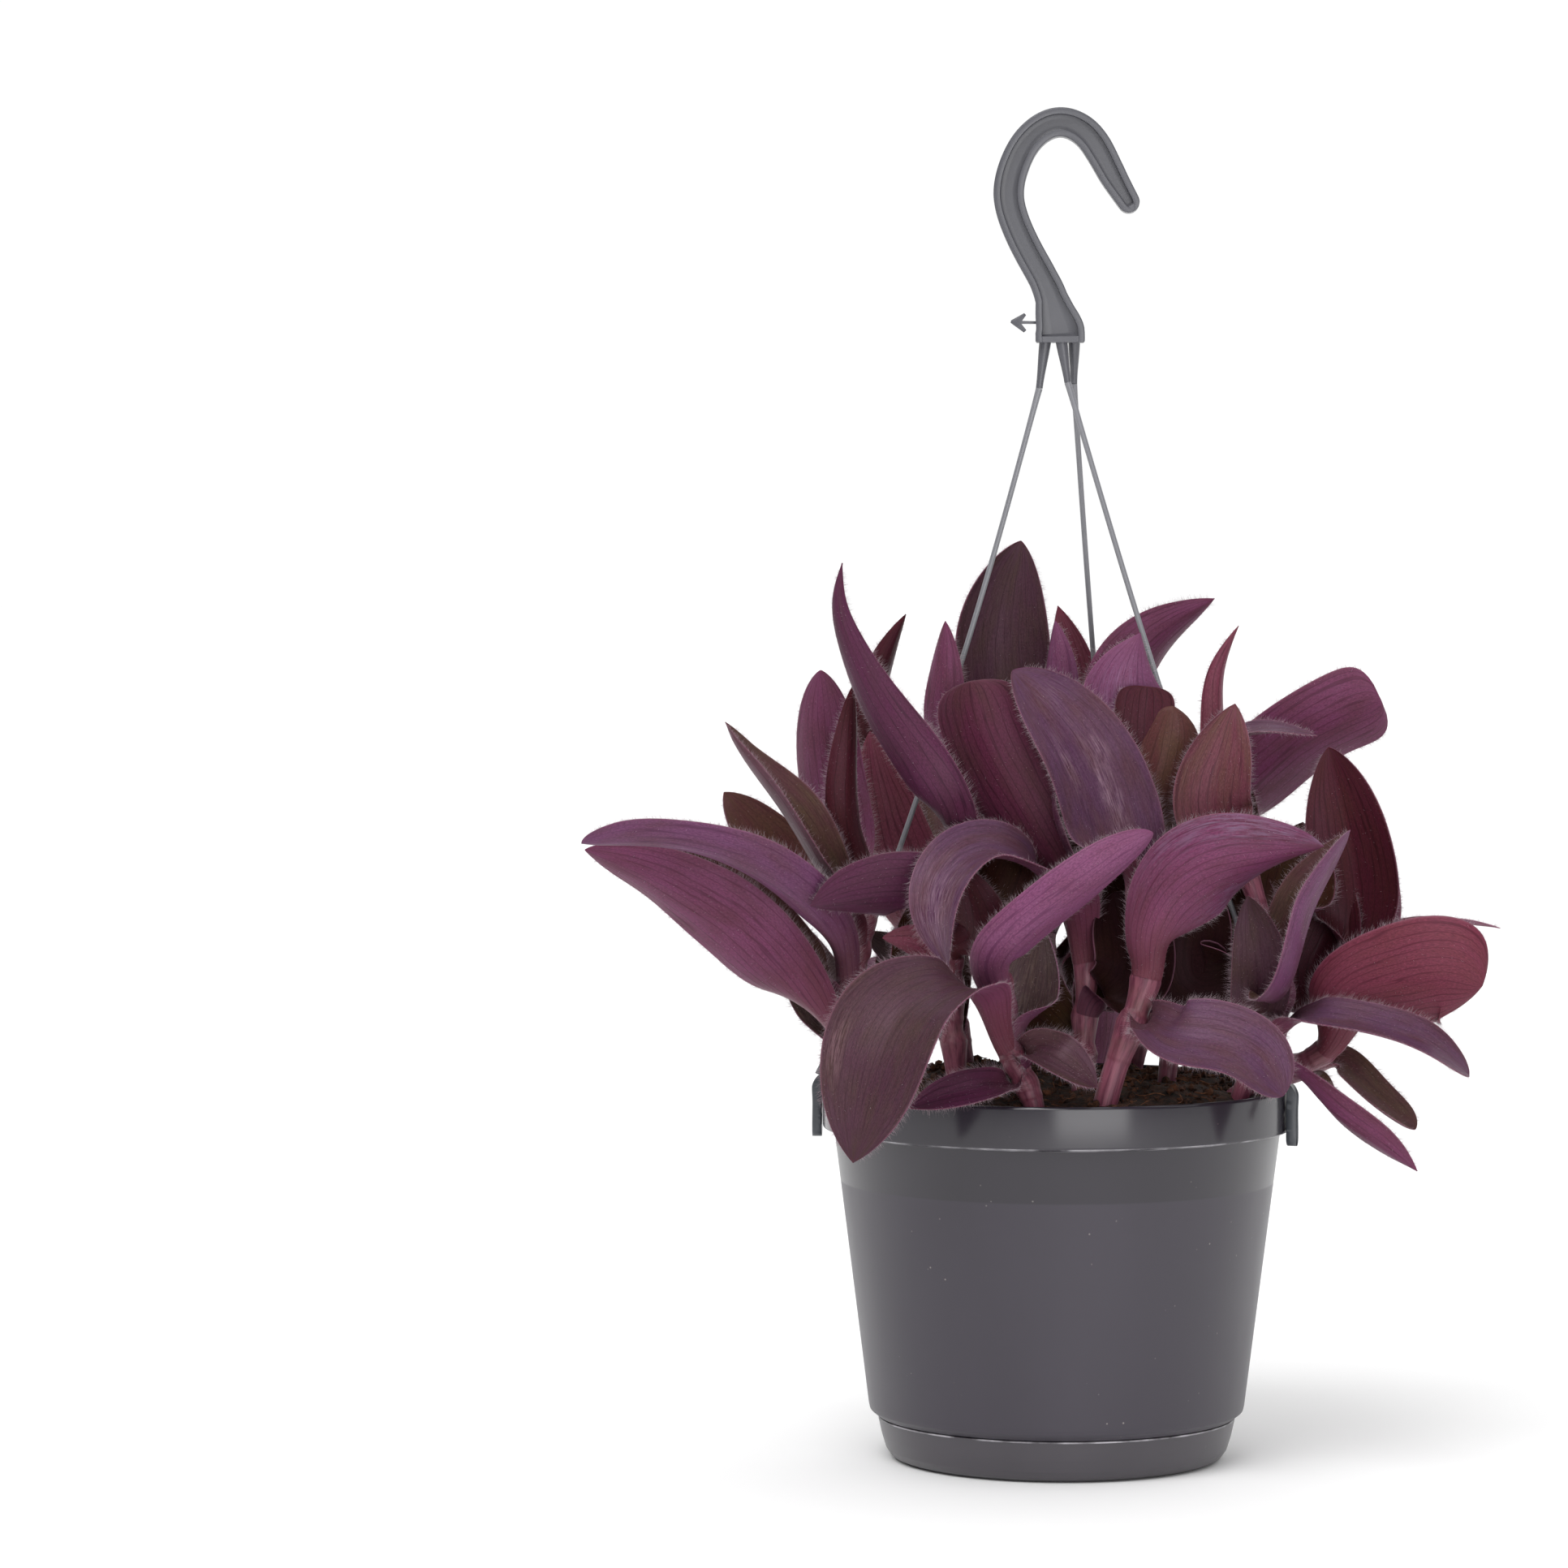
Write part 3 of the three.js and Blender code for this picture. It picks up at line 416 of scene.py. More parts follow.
@dataclass(frozen=True)
class LeafSkin:
    """Living leaf epidermis: waxy and fleshy, with parallel veins and a coat of silky hairs.

    The eye gets a dark ground, a soft gloss, thin darker lines about 3 mm apart, and pale
    silk where the hairs lie flat, which is partly the hairs' own pale tone and partly painted
    sheen.

    Attributes:
        name: which side and colour.
        ground: main colour.
        mottle: colour of the cloudy patches.
        vein: colour of the vein lines.
        foot: colour towards the sheath.
        silk: colour of the silky hairs, also used for their painted sheen.
        silk_and_sheen_level: how much of the silk and its painted sheen shows where nothing marks
            it, from 0 to 1.
        veins: how strongly the veins show, from 0 to 1.
        patches: how strongly the patches show, from 0 to 1.
        roughness: of the wax.
        shine: strength of the wax's reflection, from 0 to 1.
        VEIN_SPACING: distance between veins in millimetres at the widest part.
        MARGIN_COLOUR: of the line where the skins meet.
    """

    name: str
    ground: str
    mottle: str
    vein: str
    foot: str
    silk: str = "9a8082"
    silk_and_sheen_level: float = 0.1
    veins: float = 0.5
    patches: float = 0.5
    roughness: float = 0.42
    shine: float = 0.36

    VEIN_SPACING = 2.9
    MARGIN_COLOUR = "9c6f80"

    def material(self) -> bpy.types.Material:
        """Builds the material: flesh, veins, silk with painted sheen, and a pale line where the
        skins meet.

        Returns:
            The material.
        """
        r = Recipe(self.name)
        lie = r.add("Attribute", attribute_name="lie").outputs["Vector"]
        share, edge, sheen_spots = (
            r.add("Attribute", attribute_name=mark).outputs["Fac"]
            for mark in ("share", "edge", "silk")
        )
        cloud, fine, flesh = self.flesh(r, lie, share)
        line, colour = self.veined(r, lie, fine, flesh)
        colour = self.with_silk_and_sheen(r, lie, sheen_spots, colour)
        rim = r.add("MapRange", {"Value": edge, "From Min": 0.965, "From Max": 1.0, "To Max": 0.3})
        rimmed = r.add(
            "Mix", {SHARE: rim, COLOUR_A: colour, COLOUR_B: self.MARGIN_COLOUR},
            data_type="RGBA",
        )
        # raised veins, and cells of 0.5 mm
        grain = r.add("TexNoise", {"Vector": lie, "Scale": 2.2, "Detail": 3.0})
        height = r.add("Math", {0: line, 1: 0.8, 2: grain}, operation="MULTIPLY_ADD")
        relief = r.add("Bump", {"Height": height, "Strength": 0.45, "Distance": 0.12 * MM})
        gloss = r.add(
            "MapRange",
            {"Value": cloud, "From Min": 0.3, "From Max": 0.7,
             "To Min": self.roughness - 0.06, "To Max": self.roughness + 0.1},
        )
        return r.close(r.add(
            "BsdfPrincipled",
            {"Base Color": rimmed, "Roughness": gloss, "IOR": 1.42,
             "Specular IOR Level": self.shine, "Specular Tint": "e8c8d4",
             "Normal": relief, "Subsurface Weight": 0.15,
             "Subsurface Radius": (1.0, 0.28, 0.5), "Subsurface Scale": 1.6 * MM,
             "Sheen Weight": 0.06, "Sheen Roughness": 0.4, "Sheen Tint": "c48ca4"},
        ))

    def flesh(
        self, r: Recipe, lie: bpy.types.NodeSocket, share: bpy.types.NodeSocket
    ) -> tuple[bpy.types.Node, ...]:
        """The colour under the veins.

        Args:
            r: the material being made.
            lie: the place on the leaf in millimetres.
            share: share of the leaf's length.

        Returns:
            The nodes of the patches, of the specks and of the colour.
        """
        # cloudy patches 6 mm across and 20 mm along the leaf
        wide = r.add("Mapping", {"Vector": lie, "Scale": (0.16, 0.05, 1)})
        cloud = r.add("TexNoise", {"Vector": wide, "Scale": 1.0, "Detail": 4.0})
        patch = r.add(
            "MapRange", {"Value": cloud, "From Min": 0.4, "From Max": 0.68, "To Max": self.patches}
        )
        clouded = r.add(
            "Mix",
            {SHARE: patch, COLOUR_A: self.ground, COLOUR_B: self.mottle},
            data_type="RGBA",
        )
        # cells and fine down: specks of 0.4 by 1.1 mm, lighter and darker
        close = r.add("Mapping", {"Vector": lie, "Scale": (2.4, 0.9, 1)})
        fine = r.add("TexNoise", {"Vector": close, "Scale": 1.0, "Detail": 3.0, "Roughness": 0.7})
        speckle = r.add(
            "MapRange",
            {"Value": fine, "From Min": 0.3, "From Max": 0.7, "To Min": 0.62, "To Max": 1.38},
        )
        specked = r.add(
            "Mix", {SHARE: 1.0, COLOUR_A: clouded, COLOUR_B: speckle},
            data_type="RGBA", blend_type="MULTIPLY",
        )
        # pinker or greener towards the sheath, over the first third
        low = r.add(
            "MapRange",
            {"Value": share, "From Min": 0.02, "From Max": 0.34, "To Min": 0.85, "To Max": 0.0},
        )
        footed = r.add(
            "Mix", {SHARE: low, COLOUR_A: specked, COLOUR_B: self.foot}, data_type="RGBA"
        )
        return cloud, fine, footed

    def veined(
        self, r: Recipe, lie: bpy.types.NodeSocket, fine: bpy.types.Node, flesh: bpy.types.Node
    ) -> tuple[bpy.types.Node, ...]:
        """Veins at the crests of a high power of |cos|, which wander a little along the leaf.

        They are `VEIN_SPACING` apart at the widest part and drawn together towards both
        ends, and some of them are faint.

        Args:
            r: the material being made.
            lie: the place on the leaf in millimetres.
            fine: the specks, which make a vein fainter in places.
            flesh: the colour under the veins.

        Returns:
            The nodes of the veins' height and of the colour.
        """
        slow = r.add("Mapping", {"Vector": lie, "Scale": (0.5, 0.03, 1)})
        wander = r.add("TexNoise", {"Vector": slow, "Scale": 1.0, "Detail": 2.0})
        across = r.add("SeparateXYZ", {0: lie})
        bent = r.add("Math", {0: wander, 1: 4.0, 2: across}, operation="MULTIPLY_ADD")
        wave = r.add("Math", {0: bent, 1: math.pi / self.VEIN_SPACING}, operation="MULTIPLY")
        crest = r.add("Math", {0: wave}, operation="COSINE")
        sharp = r.add("Math", {0: crest}, operation="ABSOLUTE")
        line = r.add("Math", {0: sharp, 1: 36.0}, operation="POWER")
        faint = r.add(
            "MapRange",
            {"Value": fine, "From Min": 0.3, "From Max": 0.6, "To Min": 0.25, "To Max": self.veins},
        )
        vein = r.add("Math", {0: line, 1: faint}, operation="MULTIPLY")
        veined = r.add(
            "Mix", {SHARE: vein, COLOUR_A: flesh, COLOUR_B: self.vein}, data_type="RGBA"
        )
        return line, veined

    def with_silk_and_sheen(
        self, r: Recipe, lie: bpy.types.NodeSocket, sheen_spots: bpy.types.NodeSocket,
        under: bpy.types.Node,
    ) -> bpy.types.Node:
        """Silky hairs lying along the leaf, with their sheen painted into the colour.

        Its threads are 0.6 mm wide and 7 mm long, drawn coarser than the real 0.05 mm.

        Args:
            r: the material being made.
            lie: the place on the leaf in millimetres.
            sheen_spots: where painted sheen is marked on the leaf.
            under: the colour under the silk.

        Returns:
            The node of the colour.
        """
        # the pale threads are partly the hairs' own tone and partly painted sheen
        combed = r.add("Mapping", {"Vector": lie, "Scale": (1.6, 0.14, 1)})
        strands = r.add(
            "TexNoise", {"Vector": combed, "Scale": 1.0, "Detail": 5.0, "Roughness": 0.65}
        )
        thread = r.add("MapRange", {"Value": strands, "From Min": 0.42, "From Max": 0.7})
        everywhere = r.add(
            "Math", {0: sheen_spots, 1: self.silk_and_sheen_level}, operation="ADD", use_clamp=True
        )
        sheen_share = r.add("Math", {0: thread, 1: everywhere}, operation="MULTIPLY")
        return r.add(
            "Mix", {SHARE: sheen_share, COLOUR_A: under, COLOUR_B: self.silk}, data_type="RGBA"
        )


class Skin(Enum):
    """The leaf skins seen on this plant."""

    SLATE = LeafSkin("leaf skin, upper side, slate purple", "4c2e46", "4a2c34", "321a28", "4e3036",
                     silk="8e7280", silk_and_sheen_level=0.12, veins=0.5, patches=0.9)
    DUSK = LeafSkin("leaf skin, upper side, dusky maroon", "3e2430", "3c2a28", "28131a", "46292c",
                    silk="7e6066", silk_and_sheen_level=0.1, veins=0.5, patches=0.9)
    OLIVE = LeafSkin("leaf skin, upper side, olive", "47282c", "463627", "2a1617", "4a3a2a",
                     silk="826a5c", silk_and_sheen_level=0.12, veins=0.55, patches=0.9)
    BROWN = LeafSkin("leaf skin, upper side, brown", "502c2c", "4c3524", "301816", "4a3828",
                     silk="826258", silk_and_sheen_level=0.1, veins=0.55, patches=0.8)
    # painted shade: these two skins are darkened copies of the olive skin, for leaves deep in the
    # shade of the plant
    SHADED_OLIVE = LeafSkin("leaf skin, upper side, shaded olive", "2c1410", "30200f", "1a0a07",
                          "382816", silk="564230", silk_and_sheen_level=0.08, veins=0.6, patches=0.8,
                          shine=0.12)
    SHADE = LeafSkin("leaf skin, upper side, deep shade", "221013", "25150d", "130706", "2a1a12",
                     silk="423030", silk_and_sheen_level=0.05, veins=0.5, shine=0.08)
    MAROON = LeafSkin("leaf skin, dark maroon", "3e1520", "3c1d18", "240a0e", "482224",
                      silk="664050", silk_and_sheen_level=0.04, veins=0.8, shine=0.28)
    RUST = LeafSkin("leaf skin, red brown", "72384a", "683e42", "461e2a", "6e4448", silk="8a5e5a",
                    silk_and_sheen_level=0.08, veins=1.0)
    ROSE = LeafSkin("leaf skin, brown rose", "5e2e3a", "563830", "3a1a22", "6c3e46", silk="9c7478",
                    silk_and_sheen_level=0.13, veins=0.85, patches=0.85)
    GREY = LeafSkin("leaf skin, silvery", "3e2c30", "403428", "281a1e", "463a2a", silk="7c6c62",
                    silk_and_sheen_level=0.3, veins=0.6)
    MAGENTA = LeafSkin("leaf skin, underside, magenta", "65324f", "552c3b", "401a2a", "67363e",
                       silk="725c74", silk_and_sheen_level=0.08, veins=0.8, patches=0.8)
    BRIGHT = LeafSkin("leaf skin, underside, bright magenta", "6e3e5e", "643750", "4a223e",
                      "774554", silk="866080", silk_and_sheen_level=0.1, veins=0.75, patches=0.7)
    PLUM = LeafSkin("leaf skin, underside, plum", "522438", "47282c", "351420", "5c2f38",
                    silk="784464", silk_and_sheen_level=0.06, veins=1.0, patches=0.8)
    MAUVE = LeafSkin("leaf skin, underside, mauve", "603756", "563444", "422038", "623b42",
                     silk="7e6280", silk_and_sheen_level=0.12, veins=0.8, patches=0.85)
    VIOLET = LeafSkin("leaf skin, underside, violet", "4a213a", "3e252d", "2d1222", "502936",
                      silk="6c4060", silk_and_sheen_level=0.05, veins=0.9)
    WINE = LeafSkin("leaf skin, underside, wine red", "632a3a", "5c2c31", "40131f", "6a3640",
                    silk="88546a", silk_and_sheen_level=0.05, veins=0.85)
    # painted light: a lightened mauve for the leaves that are lit at the far right
    PALE = LeafSkin("leaf skin, pale mauve", "7a4c62", "704e4c", "563444", "84586a", silk="a68ca0",
                    silk_and_sheen_level=0.2, veins=0.7)


@dataclass(frozen=True)
class StemSkin:
    """Living stem epidermis: fleshy, pink with darker and greener stripes along it.

    Attributes:
        name: what it is.
        pink: main colour.
        stripe: colour of the stripes.
        green: colour that shows through in places.
        joint: colour of the rings at the nodes.
    """

    name: str = "stem skin, striped pink"
    pink: str = "7e4656"
    stripe: str = "5c2a3c"
    green: str = "60463c"
    joint: str = "5a2432"

    def material(self) -> bpy.types.Material:
        """Builds the material.

        Returns:
            The material.
        """
        r = Recipe(self.name)
        lie = r.add("Attribute", attribute_name="lie").outputs["Vector"]
        node = r.add("Attribute", attribute_name="node").outputs["Fac"]
        # stripes about 1 mm wide and 20 mm long that run along the stem
        long_way = r.add("Mapping", {"Vector": lie, "Scale": (0.9, 0.9, 0.05)})
        stripes = r.add(
            "TexNoise", {"Vector": long_way, "Scale": 1.0, "Detail": 4.0, "Roughness": 0.6}
        )
        striped = r.add("MapRange", {"Value": stripes, "From Min": 0.42, "From Max": 0.62})
        ground = r.add(
            "Mix", {SHARE: striped, COLOUR_A: self.pink, COLOUR_B: self.stripe},
            data_type="RGBA",
        )
        # greener stretches 12 mm long
        cloud = r.add("TexNoise", {"Vector": lie, "Scale": 0.08, "Detail": 3.0})
        green = r.add(
            "MapRange", {"Value": cloud, "From Min": 0.5, "From Max": 0.75, "To Max": 0.6}
        )
        greener = r.add(
            "Mix", {SHARE: green, COLOUR_A: ground, COLOUR_B: self.green}, data_type="RGBA"
        )
        dark = r.add(
            "Mix", {SHARE: node, COLOUR_A: greener, COLOUR_B: self.joint}, data_type="RGBA"
        )
        relief = r.add("Bump", {"Height": stripes, "Strength": 0.5, "Distance": 0.3 * MM})
        return r.close(r.add(
            "BsdfPrincipled",
            {"Base Color": dark, "Roughness": 0.42, "IOR": 1.42, "Normal": relief,
             "Subsurface Weight": 0.2, "Subsurface Radius": (1.0, 0.3, 0.4),
             "Subsurface Scale": 2 * MM, "Sheen Weight": 0.15, "Sheen Roughness": 0.4,
             "Sheen Tint": "d9b0bc"},
        ))


@dataclass(frozen=True)
class LeafHair:
    """Plant hairs: clear cells full of air, which look white against the dark leaves.

    Attributes:
        name: what it is.
        colour: main colour.
        pinker: colour that it drifts to.
    """

    name: str = "plant hair, clear and white"
    colour: str = "bda8b0"
    pinker: str = "a4808f"

    def material(self) -> bpy.types.Material:
        """Builds the material, whose tint changes over about 17 mm.

        Returns:
            The material.
        """
        r = Recipe(self.name)
        place = r.add("TexCoord").outputs["Object"]
        cloud = r.add("TexNoise", {"Vector": place, "Scale": 60.0, "Detail": 2.0})
        tint = r.add(
            "Mix", {SHARE: cloud, COLOUR_A: self.colour, COLOUR_B: self.pinker},
            data_type="RGBA",
        )
        return r.close(r.add(
            "BsdfPrincipled",
            {"Base Color": tint, "Roughness": 0.45, "IOR": 1.45, "Transmission Weight": 0.35,
             "Sheen Weight": 0.3},
        ))


@dataclass(frozen=True)
class Moulding:
    """Injection-moulded polypropylene.

    The eye gets a soft grey gloss with a fine grain, faint flow clouds and a few specks of dust.

    Attributes:
        name: piece and surface.
        colour: main colour.
        roughness: of the skin.
        grain: height of the spark-eroded grain in millimetres.
        pale_lines: heights in millimetres at which a thin pale line runs round the edge.
        steps: places where the mould's polish changes, each as its height in millimetres,
            the roughness above it and what the colour is multiplied by above it.
        dust: how much dust shows, from 0 to 1.
        LIGHTER, DARKER: what the colour is multiplied by in the flow clouds and between them.
        PALE_EDGE_COLOUR: of the pale line.
        DUST_COLOUR: of the dust.
    """

    name: str
    colour: str
    roughness: float = 0.45
    grain: float = 0.02
    pale_lines: tuple[float, ...] = ()
    steps: tuple[tuple[float, float, float], ...] = ()
    dust: float = 0.0

    LIGHTER, DARKER = 1.22, 0.84
    PALE_EDGE_COLOUR = "b5b2b8"
    DUST_COLOUR = "b8b0a8"

    def material(self) -> bpy.types.Material:
        """Builds the material.

        Returns:
            The material.
        """
        r = Recipe(self.name)
        place = r.add("TexCoord").outputs["Object"]
        height = r.add("SeparateXYZ", {0: place}).outputs["Z"]
        # flow clouds 30 mm across, stretched upwards to 80 mm
        upwards = r.add("Mapping", {"Vector": place, "Scale": (34, 34, 12)})
        flow = r.add("TexNoise", {"Vector": upwards, "Scale": 1.0, "Detail": 4.0})
        tone = np.array(linear(self.colour))
        lighter, darker = ([*(tone[:3] * by), 1.0] for by in (self.LIGHTER, self.DARKER))
        colour = r.add(
            "Mix", {SHARE: flow, COLOUR_A: darker, COLOUR_B: lighter}, data_type="RGBA"
        )
        for line in self.pale_lines:
            colour = self.pale_edge_line(r, place, height, line, colour)
        if self.dust:
            colour = self.dusty(r, place, colour)
        rough = r.add(
            "MapRange",
            {"Value": flow, "From Min": 0.3, "From Max": 0.7,
             "To Min": self.roughness - 0.05, "To Max": self.roughness + 0.05},
        )
        for start, polished, shade in self.steps:
            high = r.add(
                "MapRange",
                {"Value": height, "From Min": (start - 0.3) * MM, "From Max": (start + 0.3) * MM},
            )
            rough = r.add("Mix", {SHARE: high, NUMBER_A: rough, NUMBER_B: polished})
            colour = r.add(
                "Mix", {SHARE: high, COLOUR_A: colour, COLOUR_B: (shade, shade, shade, 1)},
                data_type="RGBA", blend_type="MULTIPLY",
            )
        # spark-eroded grain of 0.35 mm
        fine = r.add("TexNoise", {"Vector": place, "Scale": 2800.0, "Detail": 2.0})
        relief = r.add("Bump", {"Height": fine, "Strength": 0.35, "Distance": self.grain * MM})
        return r.close(r.add(
            "BsdfPrincipled",
            {"Base Color": colour, "Roughness": rough, "IOR": 1.49, "Normal": relief,
             "Coat Weight": 0.3, "Coat Roughness": 0.35},
        ))

    def pale_edge_line(
        self, r: Recipe, place: bpy.types.NodeSocket, height: bpy.types.NodeSocket, line: float,
        under: bpy.types.Node,
    ) -> bpy.types.Node:
        """A pale line 1.2 mm high round the pot, in stretches of about 11 mm.

        Args:
            r: the material being made.
            place: the place on the object.
            height: its height.
            line: the line's height in millimetres.
            under: the colour beside it.

        Returns:
            The node of the colour.
        """
        near = r.add("Math", {0: height, 1: line * MM, 2: 0.6 * MM}, operation="COMPARE")
        uneven = r.add("TexNoise", {"Vector": place, "Scale": 90.0, "Detail": 4.0})
        stretches = r.add("MapRange", {"Value": uneven, "From Min": 0.4, "From Max": 0.62})
        amount = r.add("Math", {0: near, 1: stretches}, operation="MULTIPLY")
        return r.add(
            "Mix", {SHARE: amount, COLOUR_A: under, COLOUR_B: self.PALE_EDGE_COLOUR},
            data_type="RGBA",
        )

    def dusty(
        self, r: Recipe, place: bpy.types.NodeSocket, under: bpy.types.Node
    ) -> bpy.types.Node:
        """Specks of dust 0.4 mm across, here and there in patches of about 26 mm.

        Args:
            r: the material being made.
            place: the place on the object.
            under: the colour beside them.

        Returns:
            The node of the colour.
        """
        specks = r.add("TexVoronoi", {"Vector": place, "Scale": 210.0, "Randomness": 1.0})
        small = r.add(
            "MapRange",
            {"Value": specks, "From Min": 0.03, "From Max": 0.09, "To Min": self.dust,
             "To Max": 0.0},
        )
        few = r.add("TexNoise", {"Vector": place, "Scale": 38.0, "Detail": 1.0})
        where = r.add("MapRange", {"Value": few, "From Min": 0.56, "From Max": 0.64})
        amount = r.add("Math", {0: small, 1: where}, operation="MULTIPLY")
        return r.add(
            "Mix", {SHARE: amount, COLOUR_A: under, COLOUR_B: self.DUST_COLOUR},
            data_type="RGBA",
        )


@dataclass(frozen=True)
class Peat:
    """Damp sphagnum peat, crumbled: nearly black, with red-brown lumps and no gloss.

    Attributes:
        name: what it is.
        dark: colour between the lumps.
        brown: colour of the lumps.
    """

    name: str = "peat, damp and crumbled"
    dark: str = "1a110c"
    brown: str = "4a2c1c"

    def material(self) -> bpy.types.Material:
        """Builds the material.

        Returns:
            The material.
        """
        r = Recipe(self.name)
        place = r.add("TexCoord").outputs["Object"]
        # crumbs of 3 mm and smaller
        lumps = r.add(
            "TexNoise", {"Vector": place, "Scale": 320.0, "Detail": 6.0, "Roughness": 0.7}
        )
        light = r.add("MapRange", {"Value": lumps, "From Min": 0.42, "From Max": 0.72})
        ground = r.add(
            "Mix", {SHARE: light, COLOUR_A: self.dark, COLOUR_B: self.brown},
            data_type="RGBA",
        )
        relief = r.add("Bump", {"Height": lumps, "Strength": 1.0, "Distance": 1.2 * MM})
        return r.close(r.add(
            "BsdfPrincipled",
            {"Base Color": ground, "Roughness": 0.92, "IOR": 1.4, "Normal": relief},
        ))


# ---- pot
@dataclass
class Pot:
    """The bucket-shaped hanging pot with its glossy rim band, and the saucer under it.

    Attributes:
        rim: radius of the rim band.
        top: height of the rim.
        band_low: lower edge of the rim band.
        wall_top: radius of the wall under the band.
        shoulder: radius and height where the taper ends.
        seam: radius and height where pot and saucer meet.
        wall: wall thickness.
        polished: height above which the wall is smoother.
        segments: steps round the axis.
    """

    rim: float = 85.0
    top: float = 136.0
    band_low: float = 120.5
    wall_top: float = 80.9
    shoulder: tuple[float, float] = (68.1, 18.6)
    seam: tuple[float, float] = (65.0, 15.5)
    wall: float = 1.5
    polished: float = 101.2
    segments: int = 192

    def bucket(self) -> Surface:
        """The pot as a turned shell whose wall is `wall` thick: up its outside, down inside.

        Returns:
            The pot.
        """
        inner_top = self.wall_top - self.wall
        low, high = self.seam[1] + CLEARANCE, self.band_low
        shoulder_r, shoulder_z = self.shoulder
        profile = [
            [0, 2.1], [55.4, 2.1], [59.4, 5.2], [60.9, 9], [62.6, low], [self.seam[0], low],
            [shoulder_r - 0.3, shoulder_z - 0.6], [shoulder_r + 0.1, shoulder_z + 1.2],
            [self.wall_top, high - 0.4], [self.rim - 0.9, high - 0.1], [self.rim - 0.1, high + 0.3],
            [self.rim, high + 1.0], [self.rim, self.top - 0.9], [self.rim - 0.7, self.top],
            [self.rim - self.wall, self.top - 0.4], [self.rim - self.wall - 0.2, high + 2.5],
            [inner_top, high - 1], [shoulder_r - self.wall, shoulder_z + 1.8],
            [61.2, self.seam[1] + 1.8], [59.3, 9.4], [57.6, 6], [54.6, 3.9], [0, 3.9],
        ]
        return turned(profile, self.segments, 0.45)

    def saucer(self) -> Surface:
        """The saucer as a turned shell whose edge meets the pot.

        Returns:
            The saucer.
        """
        seam_r, seam_z = self.seam
        profile = [
            [0, 0], [57, 0], [60.2, 1.4], [62, 4], [63.4, 8.5], [seam_r, seam_z],
            [seam_r - self.wall, seam_z], [61.9, 8.8], [60.4, 4.8], [56.4, 1.8], [0, 1.8],
        ]
        return turned(profile, self.segments, 0.4)

    def build(self) -> None:
        """Makes both pieces and dresses them."""
        wall = Moulding(
            "polypropylene, injection moulded, fine grain with a glossy band", "322d37",
            roughness=0.46, grain=0.03, pale_lines=(self.band_low,),
            steps=((self.polished, 0.33, 0.6), (self.band_low + 0.6, 0.15, 1.0)), dust=0.6,
        )
        # painted light: the saucer's colour is lighter than the wall's, to make up for the shade at
        # the bottom of the pot
        foot = Moulding(
            "polypropylene, injection moulded, satin", "3f3b41", roughness=0.38, grain=0.02,
            pale_lines=(self.seam[1],), dust=0.4,
        )
        self.bucket().piece("pot_shell", [wall.material()], "pot_plastic", 30, "pot")
        self.saucer().piece("saucer_shell", [foot.material()], "saucer_plastic", 30, "saucer")


